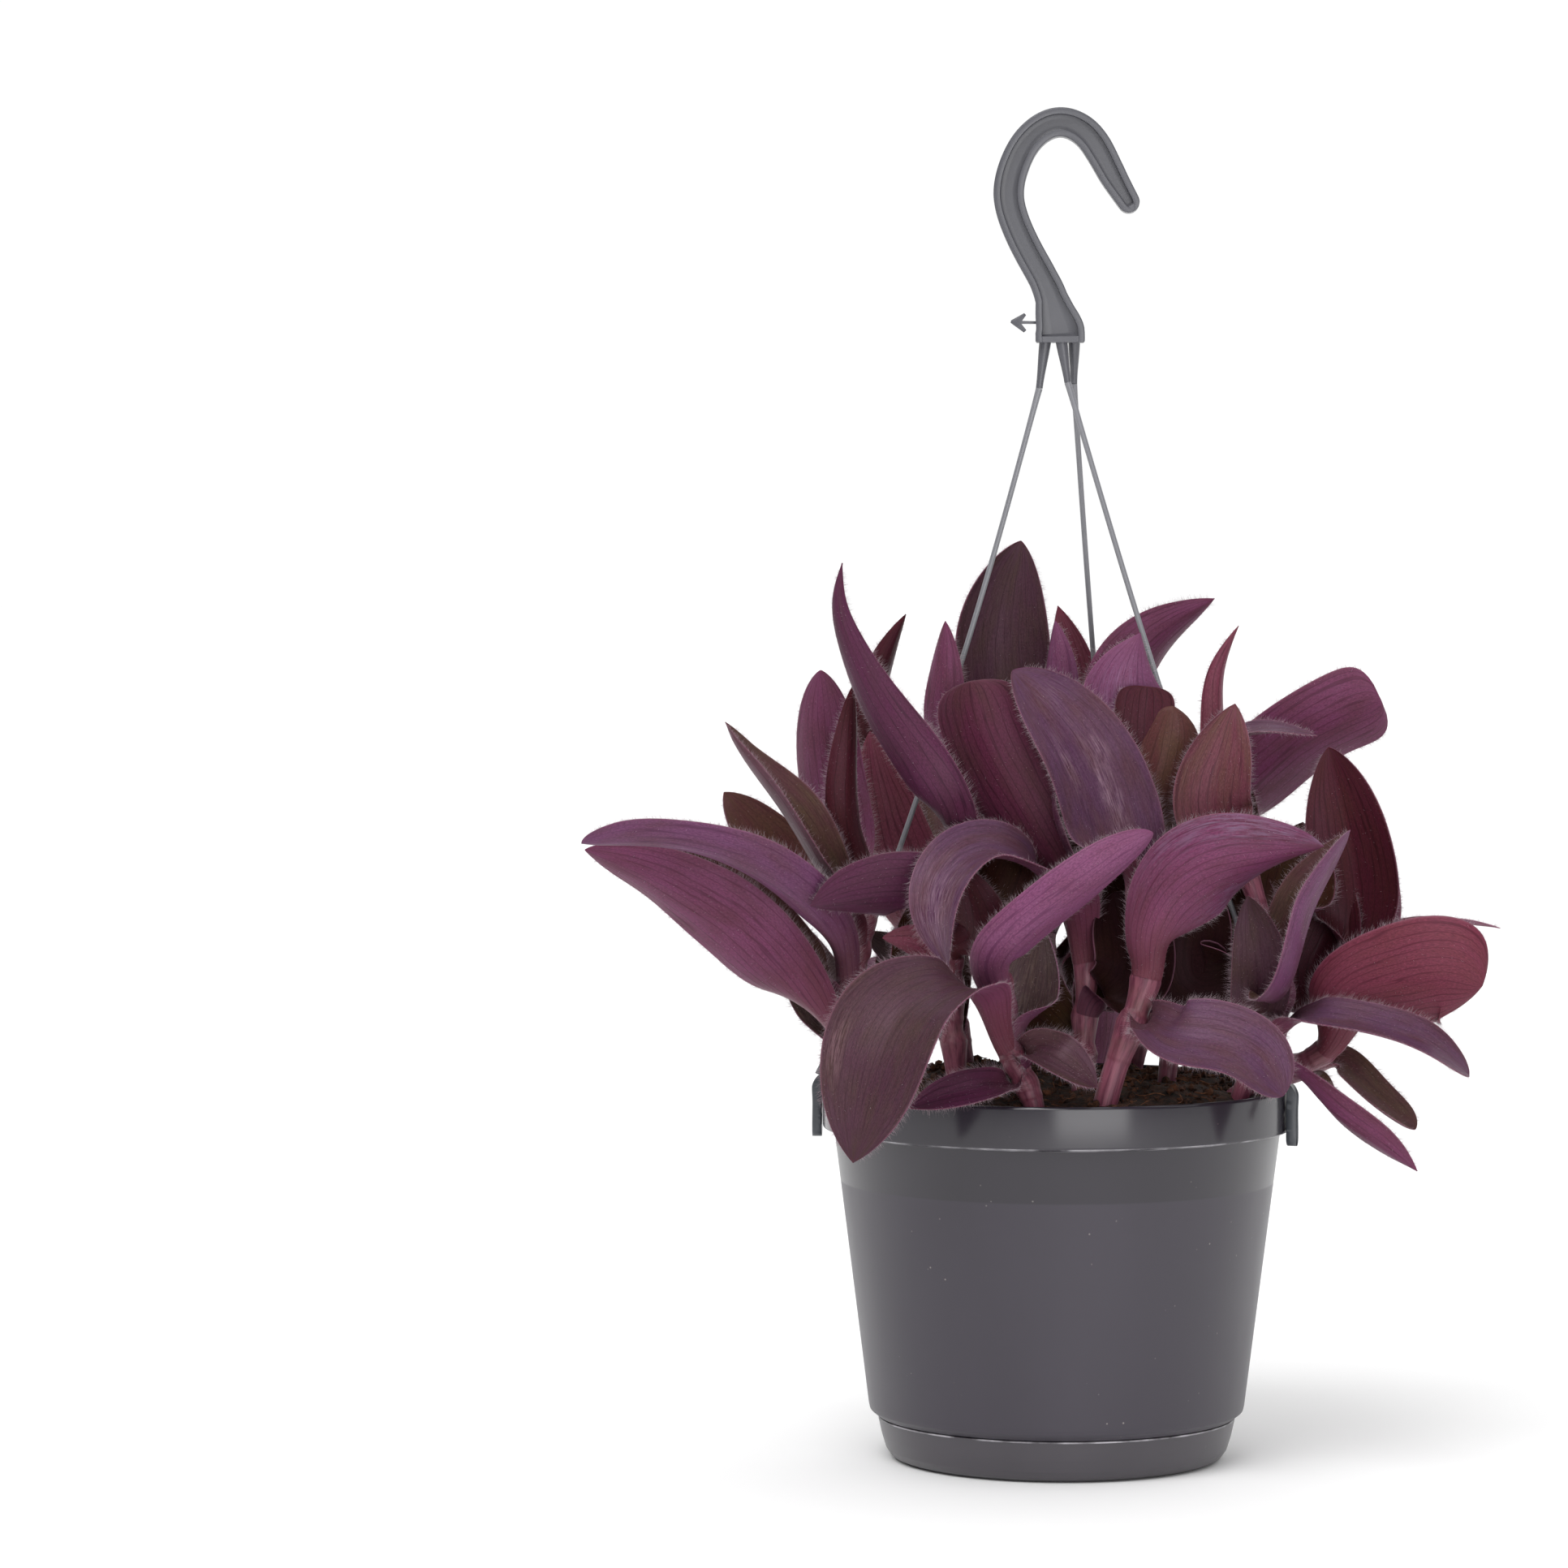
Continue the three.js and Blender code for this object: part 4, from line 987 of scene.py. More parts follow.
# ---- potting mix
@dataclass
class PottingMix:
    """Peat with crumbs and fibres, heaped a little at the back left and the front right.

    Attributes:
        radius: of the top, inside the rim.
        edge: height at the rim.
        crown: height in the middle.
        crumbs: loose crumbs on top.
        fibres: loose fibres on top.
        SPREAD: share of the radius within which crumbs and fibres lie.
    """

    radius: float = 79.0
    edge: float = 133.0
    crown: float = 138.0
    crumbs: int = 900
    fibres: int = 170

    SPREAD = 0.97

    def height(self, x: np.ndarray, y: np.ndarray) -> np.ndarray:
        """Height of the top: a low crown, two heaps and lumps made of crossed waves.

        Args:
            x: places from left to right.
            y: places from front to back.

        Returns:
            The heights.
        """
        far = np.hypot(x, y) / self.radius
        ground = self.crown - (self.crown - self.edge) * far**3
        heaps = 3.2 * np.exp(-(((x + 35) / 26) ** 2 + ((y - 52) / 24) ** 2))
        heaps += 2.4 * np.exp(-(((x - 40) / 22) ** 2 + ((y + 40) / 20) ** 2))
        lumps = 0.8 * np.sin(x / 3.1 + 1.7 * np.sin(y / 4.3))
        lumps *= np.sin(y / 2.7 + 1.3 * np.sin(x / 5.1))
        lumps += 0.5 * np.sin(x / 1.3 + y / 1.9) * np.sin(y / 1.1 - x / 2.3)
        return ground + (heaps + lumps) * (1 - ease((far - 0.9) / 0.1))

    def heap(self) -> Surface:
        """The mix as one closed body, turned and then lifted by `height` on top.

        Returns:
            The mix.
        """
        rings = np.linspace(0.985, 0.012, 62) * self.radius
        profile = [
            [0, 4.2], [54.2, 4.2], [57, 6.3], [58.8, 9.8], [60.7, 17.9], [66, 21], [78.9, 119.3],
            [self.radius, self.edge], *[[r, self.edge] for r in rings.tolist()], [0, self.crown],
        ]
        body = turned(profile, 150)
        x, y, z = body.vertices.T
        on_top = z >= self.edge - 0.01
        body.vertices[:, 2] = np.where(on_top, self.height(x, y), z)
        return body

    def loose_crumbs(self) -> Surface:
        """Crumbs: twenty-sided lumps scattered over the top, from 0.5 to 2.2 mm in radius.

        Each corner is moved in or out by up to 30%, and each side of a lump by up to 25%.

        Returns:
            All the crumbs.
        """
        golden = (1 + 5**0.5) / 2
        corners = unit(np.array([
            [-1, golden, 0], [1, golden, 0], [-1, -golden, 0], [1, -golden, 0], [0, -1, golden],
            [0, 1, golden], [0, -1, -golden], [0, 1, -golden], [golden, 0, -1], [golden, 0, 1],
            [-golden, 0, -1], [-golden, 0, 1],
        ]))
        sides = np.array([
            [0, 11, 5], [0, 5, 1], [0, 1, 7], [0, 7, 10], [0, 10, 11], [1, 5, 9], [5, 11, 4],
            [11, 10, 2], [10, 7, 6], [7, 1, 8], [3, 9, 4], [3, 4, 2], [3, 2, 6], [3, 6, 8],
            [3, 8, 9], [4, 9, 5], [2, 4, 11], [6, 2, 10], [8, 6, 7], [9, 8, 1],
        ])
        far = self.radius * self.SPREAD * np.sqrt(RANDOM.random(self.crumbs))
        turn = RANDOM.random(self.crumbs) * 2 * np.pi
        x, y = far * np.cos(turn), far * np.sin(turn)
        size = 0.5 + 1.7 * RANDOM.random(self.crumbs) ** 2.5
        shape = corners[None] * (0.7 + 0.6 * RANDOM.random((self.crumbs, 12, 1)))
        shape *= 0.75 + 0.5 * RANDOM.random((self.crumbs, 1, 3))
        centre = np.stack([x, y, self.height(x, y) + 0.35 * size], -1)
        points = centre[:, None] + shape * size[:, None, None]
        faces = (sides[None] + 12 * np.arange(self.crumbs)[:, None, None]).reshape(-1, 3)
        return Surface(points.reshape(-1, 3), faces.tolist())

    def loose_fibres(self) -> Surface:
        """Fibres: curved rods lying over the top, 3 to 12 mm long and 0.3 to 0.7 mm thick.

        Returns:
            All the fibres.
        """
        rods = []
        for _ in range(self.fibres):
            far = self.radius * 0.93 * math.sqrt(RANDOM.random())
            turn = RANDOM.random() * 2 * np.pi
            way = RANDOM.random() * 2 * np.pi
            reach = 3 + 9 * RANDOM.random()
            bend = RANDOM.normal(0, 0.5)
            steps = np.linspace(-0.5, 0.5, 4)
            x = far * np.cos(turn) + reach * steps * np.cos(way + bend * steps)
            y = far * np.sin(turn) + reach * steps * np.sin(way + bend * steps)
            if np.hypot(x, y).max() >= self.radius * self.SPREAD:
                continue
            z = self.height(x, y) + 0.7 + RANDOM.random(4) * 1.2
            curve = SmoothCurve(np.stack([x, y, z], -1), samples=12)
            shares = np.linspace(0, 1, 7)
            radii = (0.14 + 0.2 * RANDOM.random()) * (1 - 0.6 * np.abs(2 * shares - 1))
            rods.append(carried(curve, shares, radii, 5))
        return joined(rods)

    def build(self) -> None:
        """Makes the heap, the crumbs and the fibres and dresses them."""
        peat = Peat().material()
        bark = Peat("bark crumbs, damp", "22150f", "6a4028").material()
        fibre = Peat("root and coir fibres", "4a2c1e", "8a5c3c").material()
        self.heap().piece("peat_heap", [peat], "peat", 80, "potting_mix")
        self.loose_crumbs().piece("peat_crumbs", [bark], "peat", 25)
        self.loose_fibres().piece("peat_fibres", [fibre], "peat", 60)


# ---- hanger
@dataclass
class Strand:
    """A thin taut strand from a prong under the hook to a clip on the rim.

    Attributes:
        name: where it goes.
        bearing: where its clip sits, in degrees from +X towards +Y.
        prong: the prong's top and end.
        bow: a point that it passes on its way.
        RADIUS: its own radius between its ends.
        CLIP_TOP: distance from the axis and height of the clip's top, where it ends.
    """

    name: str
    bearing: float
    prong: tuple
    bow: tuple

    RADIUS = 0.98
    CLIP_TOP = (86.7, 138.8)

    def rod(self) -> Surface:
        """The strand: a circle carried along its curve from the prong to the clip's top.

        Its radius grows by 0.28 mm at the prong and by 0.5 mm at the clip, and the growth
        falls off within 9 mm and 2 mm.

        Returns:
            The strand.
        """
        top, end = np.array(self.prong[0]), np.array(self.prong[1])
        start = end + unit(end - top) * 0.05
        turn, (radius, height) = math.radians(self.bearing), self.CLIP_TOP
        foot = np.array([radius * math.cos(turn), radius * math.sin(turn), height])
        curve = SmoothCurve([start, self.bow, foot])
        shares = np.linspace(0, 1, 90)
        flare = 0.28 * np.exp(-shares * curve.length / 9)
        flare = flare + 0.5 * np.exp(-(1 - shares) * curve.length / 2)
        return carried(curve, shares, self.RADIUS + flare, 16)


@dataclass
class Hanger:
    """The moulded hook, its three strands and their clips over the rim.

    Attributes:
        limb: the hook's centre line and half width, [x, z, half width], from its base up.
        depth: front to back.
        web: thickness between the two recesses.
        flange: width of the raised edge.
        tip: radius of the round end.
        closed_ends: how far from the base and from the tip the recess begins.
        strands: the three strands.
    """

    limb: tuple = (
        (0.6, 404.4, 8.9), (0.45, 409, 8.9), (-1.0, 414.4, 7.5), (-2.6, 420.4, 5.9),
        (-5.4, 427.2, 5.4), (-9.2, 434.1, 5.4), (-15.4, 446.8, 5.4), (-18, 457.5, 5.5),
        (-15.8, 468.7, 5.4), (-9.2, 479.2, 5.2), (0.3, 483.6, 5.2), (9.4, 480, 5.3),
        (14.2, 474, 5.3), (19.2, 464.8, 4.9), (25.2, 454.8, 3.95), (27.2, 451.5, 3.9),
    )
    depth: float = 9.0
    web: float = 3.0
    flange: float = 2.4
    tip: float = 3.9
    closed_ends: tuple[float, float] = (2.2, 3.4)
    strands: tuple = (
        Strand("left", 178, ((-4.6, 0.4, 406), (-6.9, 0.4, 388)), (-27, 1, 315)),
        Strand("right", -15, ((0.9, -1.8, 406), (3.4, -2.8, 390)), (23.6, -8.4, 322)),
        Strand("back", 72, ((5.7, 2.4, 406), (5.6, 5, 390)), (10.6, 25.5, 322)),
    )

    def hook(self) -> Surface:
        """The hook: an I section carried along its centre line.

        The section's outer faces stand at plus and minus the half width. Between the
        flanges the faces drop to the web, and near both ends they rise again, so that the
        recess closes. At the tip the half width follows a circle.

        Returns:
            The hook with its base.
        """
        stations = np.array(self.limb)
        line = SmoothCurve([[x, 0, z] for x, z, _ in stations])
        knots = np.linalg.norm(np.diff(stations[:, :2], axis=0), axis=1)
        places = np.concatenate([[0], np.cumsum(knots)])
        places *= line.length / places[-1]
        ends = np.concatenate([[0, 0.25, 0.6], np.linspace(1.0, line.length - 5.2, 118)])
        turning = np.sin(np.linspace(0, 0.985, 12) * np.pi / 2)
        round_end = line.length - self.tip * (1 - turning) - 0.02
        run = np.concatenate([ends, round_end])
        past = np.clip(run - (line.length - self.tip), 0, self.tip)
        half = np.interp(run, places, stations[:, 2])
        half = np.where(past > 0, np.sqrt(np.maximum(self.tip**2 - past**2, 0.04)), half)
        half = half - 0.5 * np.clip(1 - run / 0.6, 0, 1) ** 2
        centre, ahead = line.at(run / line.length), line.along(run / line.length)
        ahead[:4] = UP
        deep, low = self.depth / 2, self.web / 2
        base_end, tip_end = self.closed_ends
        opening = ease((run - base_end) / 0.9) * (1 - ease((run - (line.length - tip_end)) / 0.9))
        floor = low + (deep - low - 0.02) * (1 - opening)
        inner = np.maximum(half - self.flange, 0.25 * half)
        soft = np.minimum(0.45, half * 0.3)
        fillet = np.minimum(0.35, inner * 0.3)
        flat = deep + 0 * half
        # a quarter of the section from its outer face to the web, then the same mirrored
        quarter = [
            (half, deep - soft), (half - 0.3 * soft, deep - 0.3 * soft), (half - soft, flat),
            (inner + fillet, flat), (inner + 0.2 * fillet, deep - 0.2 * fillet),
            (inner, np.maximum(deep - fillet, floor)), (inner - 0.1 * fillet, floor + 0.25),
            (inner - fillet, floor), (inner * 0.4, floor),
        ]
        quarter = [(x, np.minimum(y, deep)) for x, y in quarter]
        upper = quarter + [(-x, y) for x, y in reversed(quarter)]
        across, through = zip(*upper, *[(-x, -y) for x, y in upper])
        rings = swept(centre, unit(np.cross(ahead, -BACK)), across, BACK, through)
        return loft(rings[:, ::-1])

    def tag_barb(self) -> Surface:
        """The arrow-shaped barb for a price tag: a flat outline carried through 1.3 mm.

        Returns:
            The barb.
        """
        outline = np.array([
            [-7.6, 412.15], [-13.2, 412.3], [-11.7, 414.4], [-12.4, 415.1], [-17.1, 412.5],
            [-17.3, 411.6], [-12.5, 408.1], [-11.6, 408.9], [-13.4, 411.2], [-7.6, 411.15],
        ])
        depth = np.array([-0.65, -0.45, 0.45, 0.65])
        shrink = np.array([0.9, 1.0, 1.0, 0.9])[:, None, None]
        middle = np.array([-13.0, 411.7])
        flat = middle + (outline[None] - middle) * shrink
        through = np.broadcast_to(depth[:, None], flat.shape[:2])
        return loft(np.stack([flat[..., 0], through, flat[..., 1]], -1))

    def prong(self, strand: Strand) -> Surface:
        """A tapering prong under the hook, from 2.15 to 1.25 mm radius.

        Args:
            strand: the strand that it holds.

        Returns:
            The prong.
        """
        curve = SmoothCurve(strand.prong)
        shares = np.linspace(0, 1, 12)
        return carried(curve, shares, 2.15 - 0.9 * ease(shares), 18)

    def clip(self, strand: Strand) -> Surface:
        """A clip over the rim: a flat bar carried up the outside, over the lip and down inside.

        The bar's section is 6 mm wide with raised edges outside, and narrows to a round end.

        Args:
            strand: the strand that it holds.

        Returns:
            The clip.
        """
        path = SmoothCurve([
            [87.0, 0, 116.2], [87.0, 0, 123], [87.0, 0, 131], [87.0, 0, 135.6], [86.2, 0, 137.6],
            [84.4, 0, 138.1], [82.7, 0, 137.4], [82.1, 0, 135.0], [82.05, 0, 129.0],
        ])
        shares = np.concatenate([[0, 0.012, 0.03, 0.055, 0.085], np.linspace(0.12, 1, 50)])
        run = shares * path.length
        wide = 3.0 * np.sqrt(np.clip(1 - (1 - np.clip(run / 3.0, 0, 1)) ** 2, 0.01, 1))
        thick = 1.45 - 0.5 * ease((run - 18) / 5)
        out = unit(np.cross(BACK, path.along(shares)))
        raised = 0.55 * (1 - ease((run - 18) / 4))
        outer = [
            (wide, -thick + 0.3), (wide, thick - 0.3), (wide - 0.25, thick + raised * 0.6),
            (wide * 0.72, thick + raised), (wide * 0.58, thick),
        ]
        other = [(-x, y) for x, y in reversed(outer)]
        inner = [(-wide + 0.3, -thick), (wide - 0.3, -thick)]
        across, away = zip(*outer, (0 * wide, thick - 0.1), *other, *inner)
        rings = swept(path.at(shares), out, away, BACK, across)
        cos, sin = math.cos(math.radians(strand.bearing)), math.sin(math.radians(strand.bearing))
        return loft(rings @ np.array([[cos, -sin, 0], [sin, cos, 0], [0, 0, 1]]).T)

    def build(self) -> None:
        """Makes the hook, barb, prongs, strands and clips and dresses them."""
        hook_skin = Moulding(
            "polypropylene, injection moulded, satin hook", "4b4b51", roughness=0.4, grain=0.002
        ).material()
        thin_skin = Moulding(
            "polypropylene, drawn strand", "747479", roughness=0.34, grain=0.002
        ).material()
        clip_skin = Moulding(
            "polypropylene, injection moulded, dark clip", "3c4046", roughness=0.4, grain=0.02
        ).material()
        slot = "hanger_plastic"
        self.hook().piece("hook_moulding", [hook_skin], slot, 45, "hanger_hook")
        self.tag_barb().piece("tag_barb", [hook_skin], slot, 40)
        for strand in self.strands:
            side = strand.name
            self.prong(strand).piece(f"prong_{side}", [hook_skin], slot, 60)
            strand.rod().piece(f"strand_{side}", [thin_skin], slot, 60, f"hanger_strand_{side}")
            self.clip(strand).piece(f"clip_{side}", [clip_skin], slot, 45, f"rim_clip_{side}")


# ---- stems and leaves
@dataclass
class Stem:
    """A fleshy stem that rises from the potting mix.

    Attributes:
        name: where it grows.
        radius: its own radius between nodes.
        points: from the surface of the mix upwards.
        leaf_places: shares of its length above the mix at which leaves leave it.
        DEPTH: height at which its buried end stops.
        SHEATH: length of the sheath below each leaf.
        FADE: length over which the sheath thins out above the leaf.
        ROUND_END: length of the half round at the top.
    """

    name: str
    radius: float
    points: list
    leaf_places: list = field(default_factory=list)

    DEPTH = 128.0
    SHEATH, FADE, ROUND_END = 13, 7, 3.0

    def __post_init__(self) -> None:
        """Works out the line above the mix and the whole line with its buried end."""
        low, after = np.array(self.points[0], float), np.array(self.points[1], float)
        fall = (low[2] - self.DEPTH) / (after[2] - low[2])
        buried = low - (after - low) * fall * 0.6
        buried[2] = self.DEPTH
        self.visible = SmoothCurve(self.points)
        self.curve = SmoothCurve([buried, *self.points])
        self.below = self.curve.length - self.visible.length

    def rod(self) -> Surface:
        """The stem: a circle carried along its line.

        Its radius tapers by a tenth. Below each leaf a sheath wraps it and thickens upwards
        to the leaf's foot, and above the leaf it thins out. The top closes in a half round.

        Returns:
            The stem.
        """
        shares = np.linspace(0, 1, 190)
        run = shares * self.curve.length - self.below
        radii = self.radius * (1 - 0.1 * shares)
        nodes = np.zeros_like(run)
        sheath = np.zeros_like(run)
        for place in self.leaf_places:
            at = place * self.visible.length
            past = run - (at - self.SHEATH)
            share = np.clip(past / self.SHEATH, 0, 1)
            sleeve = (0.15 + 1.45 * share**1.4) * ease(past) * (1 - ease((run - at) / self.FADE))
            sheath = np.maximum(sheath, sleeve)
            nodes = np.maximum(nodes, bump_at(run, at - self.SHEATH, 0.7))
        left = np.clip((self.visible.length - run) / self.ROUND_END, 0, 1)
        end = np.sqrt(np.clip(1 - (1 - left) ** 2, 0.02, 1))
        surface = carried(self.curve, shares, (radii + sheath + 0.2 * nodes) * end, 24)
        surface.marks["node"] = np.repeat(np.clip(nodes * 0.45, 0, 1), 24)
        return surface


@dataclass(frozen=True)
class LeafRows:
    """What a leaf's surface is drawn from, row by row from its foot to its tip.

    Attributes:
        u: shares of the length.
        centre: points of the midrib.
        normal: the ways that the upper side looks.
        side: the ways across the blade.
        half: half widths in millimetres.
        bend: angles in radians through which the rows bend.
        length: the midrib's length in millimetres.
    """

    u: np.ndarray
    centre: np.ndarray
    normal: np.ndarray
    side: np.ndarray
    half: np.ndarray
    bend: np.ndarray
    length: float


@dataclass(frozen=True)
class LeafGrids:
    """A leaf's two skins as grids of points.

    Attributes:
        upper: points of the upper skin.
        lower: points of the lower skin.
        u: share of the length at each point.
        v: place across at each point, from -1 to 1.
        length: the midrib's length in millimetres.
    """

    upper: np.ndarray
    lower: np.ndarray
    u: np.ndarray
    v: np.ndarray
    length: float


@dataclass
class Leaf:
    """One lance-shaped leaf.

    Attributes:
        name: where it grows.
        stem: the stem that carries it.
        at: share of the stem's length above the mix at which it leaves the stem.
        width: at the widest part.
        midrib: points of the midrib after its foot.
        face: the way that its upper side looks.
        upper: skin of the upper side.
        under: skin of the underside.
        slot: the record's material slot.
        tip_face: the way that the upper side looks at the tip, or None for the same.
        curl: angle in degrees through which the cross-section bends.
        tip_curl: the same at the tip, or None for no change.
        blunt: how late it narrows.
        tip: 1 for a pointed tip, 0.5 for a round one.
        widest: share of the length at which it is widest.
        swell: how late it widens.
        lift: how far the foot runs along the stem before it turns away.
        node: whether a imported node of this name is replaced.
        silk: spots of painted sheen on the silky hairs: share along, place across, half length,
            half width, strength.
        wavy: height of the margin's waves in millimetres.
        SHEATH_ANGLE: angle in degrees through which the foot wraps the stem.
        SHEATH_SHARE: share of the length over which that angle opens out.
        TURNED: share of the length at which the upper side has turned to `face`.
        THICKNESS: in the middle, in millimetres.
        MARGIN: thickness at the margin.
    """

    name: str
    stem: str
    at: float
    width: float
    midrib: list
    face: tuple
    upper: Skin
    under: Skin
    slot: str
    tip_face: tuple | None = None
    curl: float = 60.0
    tip_curl: float | None = None
    blunt: float = 2.2
    tip: float = 0.85
    widest: float = 0.45
    swell: float = 1.3
    lift: float = 1.0
    node: bool = True
    silk: tuple = ()
    wavy: float = 0.5

    SHEATH_ANGLE = 165.0
    SHEATH_SHARE = 0.42
    TURNED = 0.35
    THICKNESS = 1.3
    MARGIN = 0.45

    def rows(self, stem: Stem, steps: int) -> LeafRows:
        """Centres, directions and widths at each row, which lie closer towards the tip.

        The midrib is a spline that leaves the stem along it. The blade's normal turns from
        the stem's side to `face` over the first third, always square to the midrib.

        Args:
            stem: the stem that carries the leaf.
            steps: steps from foot to tip.

        Returns:
            The rows.
        """
        axis = stem.visible.at(self.at)
        before, after = max(self.at - 0.02, 0), min(self.at + 0.02, 1)
        way = unit(stem.visible.at(after) - stem.visible.at(before))
        away = np.array(self.midrib[min(1, len(self.midrib) - 1)], float) - axis
        away = unit(away - way * (away @ way))
        sheath_radius = stem.radius + CLEARANCE + self.THICKNESS / 2
        foot = axis + away * sheath_radius
        spine = SmoothCurve([foot, *self.midrib], unit(way * self.lift + away * 0.3))
        u = 1 - (1 - np.linspace(0, 1, steps + 1)) ** 1.4
        ahead = spine.along(u)
        mid_face = unit(np.array(self.face, float))
        end_face = unit(np.array(self.tip_face or self.face, float))
        blend = ease(u / self.TURNED)[:, None]
        late = np.clip((u - self.TURNED) / (1 - self.TURNED), 0, 1)[:, None]
        looking = -away * (1 - blend) + (mid_face * (1 - late) + end_face * late) * blend
        normal = unit(looking - ahead * np.sum(looking * ahead, 1, keepdims=True))
        full = self.width / 2
        sheath = math.radians(self.SHEATH_ANGLE)
        foot_half = min(sheath_radius * sheath / 2, full)
        rise = np.sin(np.clip(u / self.widest, 0, 1) * np.pi / 2) ** self.swell
        widening = foot_half + (full - foot_half) * rise
        fall = np.clip((u - self.widest) / (1 - self.widest), 0, 1) ** self.blunt
        narrowing = full * (1 - fall) ** self.tip
        half = np.maximum(np.where(u < self.widest, widening, narrowing), 0.2)
        curl = math.radians(self.curl)
        end_curl = math.radians(self.curl if self.tip_curl is None else self.tip_curl)
        curl = curl + (end_curl - curl) * late[:, 0]
        bend = curl + (sheath - curl) * np.clip(1 - u / self.SHEATH_SHARE, 0, 1) ** 1.3
        side = np.cross(ahead, normal)
        return LeafRows(u, spine.at(u), normal, side, half, bend, spine.length)

    def skins(self, stem: Stem, rows: int = 60, columns: int = 34) -> LeafGrids:
        """The two skins as grids of points.

        Across the leaf, v runs from -1 to 1. Each row is an arc of radius half / (bend / 2)
        with a crease along the midrib, shallow ridges about 3.6 mm apart and a margin whose
        waves are 47 to 66 mm long. The two skins lie half the thickness to each side, and the
        thickness falls to the margin.

        Args:
            stem: the stem that carries the leaf.
            rows: steps from foot to tip.
            columns: steps across.

        Returns:
            The grids.
        """
        f = self.rows(stem, rows)
        u, half = f.u[:, None], f.half[:, None]
        v = np.sin(np.linspace(-1, 1, columns + 1) * 1.35)[None] / math.sin(1.35)
        angle = f.bend[:, None] / 2 * v
        radius = half / (f.bend[:, None] / 2)
        seed = sum(map(ord, self.name))
        crease = 0.12 * half * (np.sqrt(v**2 + 0.02) - 0.141) * np.clip(u / 0.2, 0, 1)
        run = u * f.length
        waves = v**4 * np.sin(run / (7.5 + seed % 4) + seed % 7 + np.where(v > 0, 2.1, 0))
        waves = waves + 0.5 * v**2 * np.sin(run / 15 + seed % 5 + 3 * v)
        waves = waves * self.wavy * np.clip((u - 0.18) / 0.2, 0, 1) * np.clip((1 - u) / 0.12, 0, 1)
        ridges = 0.03 * np.cos(v * self.width * np.pi / 3.6) * np.clip(half / 6, 0, 1)
        midrib = -0.22 * np.exp(-((v * half / 0.8) ** 2)) * np.clip((1 - u) / 0.3, 0, 1)
        normal, side = f.normal[:, None], f.side[:, None]
        out = normal * np.cos(angle)[..., None] - side * np.sin(angle)[..., None]
        middle = (
            f.centre[:, None]
            + side * (radius * np.sin(angle))[..., None]
            + normal * (radius * (1 - np.cos(angle)) + crease + waves)[..., None]
        )
        body = (self.MARGIN + (self.THICKNESS - self.MARGIN) * (1 - v**2)) * np.minimum(1, half / 5)
        body = np.maximum(body, 0.3)[..., None] / 2
        shape = (ridges + midrib)[..., None]
        return LeafGrids(
            middle + out * (body + shape), middle - out * (body - shape * 0.8),
            np.broadcast_to(u, angle.shape), np.broadcast_to(v, angle.shape), f.length,
        )

    def blade(self, stem: Stem) -> Surface:
        """Closes the two skins round their edge and marks each point.

        Args:
            stem: the stem that carries the leaf.

        Returns:
            The closed sheet, with the upper skin on slot 0 and the underside on slot 1.
        """
        s = self.skins(stem)
        rows, columns = s.u.shape
        index = np.arange(rows * columns).reshape(rows, columns)
        below = index + rows * columns
        a, b, c, d = index[:-1, :-1], index[:-1, 1:], index[1:, 1:], index[1:, :-1]
        top = np.stack([a, b, c, d], -1).reshape(-1, 4)
        bottom = np.stack([a, d, c, b], -1).reshape(-1, 4) + rows * columns
        left = np.stack([index[:-1, 0], index[1:, 0], below[1:, 0], below[:-1, 0]], -1)
        right = np.stack([index[:-1, -1], below[:-1, -1], below[1:, -1], index[1:, -1]], -1)
        foot = np.stack([index[0, :-1], below[0, :-1], below[0, 1:], index[0, 1:]], -1)
        end = np.stack([index[-1, :-1], index[-1, 1:], below[-1, 1:], below[-1, :-1]], -1)
        faces = np.vstack([top, bottom, left, right, foot, end])
        slots = np.ones(len(faces))
        slots[: len(top)] = 0
        u, v = s.u, s.v
        # the third place sets each leaf's pattern apart from the others
        seed = float(sum(map(ord, self.name)) % 97)
        lie = np.stack([v * self.width / 2, u * s.length, np.full(v.shape, seed)], -1)
        lie = lie.reshape(-1, 3)
        # painted sheen: spots where the silky hairs catch the light, drawn into the colour
        silk = np.zeros(v.shape)
        for along, across, long_half, wide_half, strength in self.silk:
            spot = ((u - along) / long_half) ** 2 + ((v - across) / wide_half) ** 2
            silk = silk + strength * np.exp(-spot)
        grids = {"share": u, "edge": np.abs(v), "silk": silk}
        marks = {mark: np.tile(grid.ravel(), 2) for mark, grid in grids.items()}
        points = np.vstack([s.upper.reshape(-1, 3), s.lower.reshape(-1, 3)])
        return Surface(points, faces.tolist(), slots, np.vstack([lie, lie + [0, 0, 11.0]]), marks)

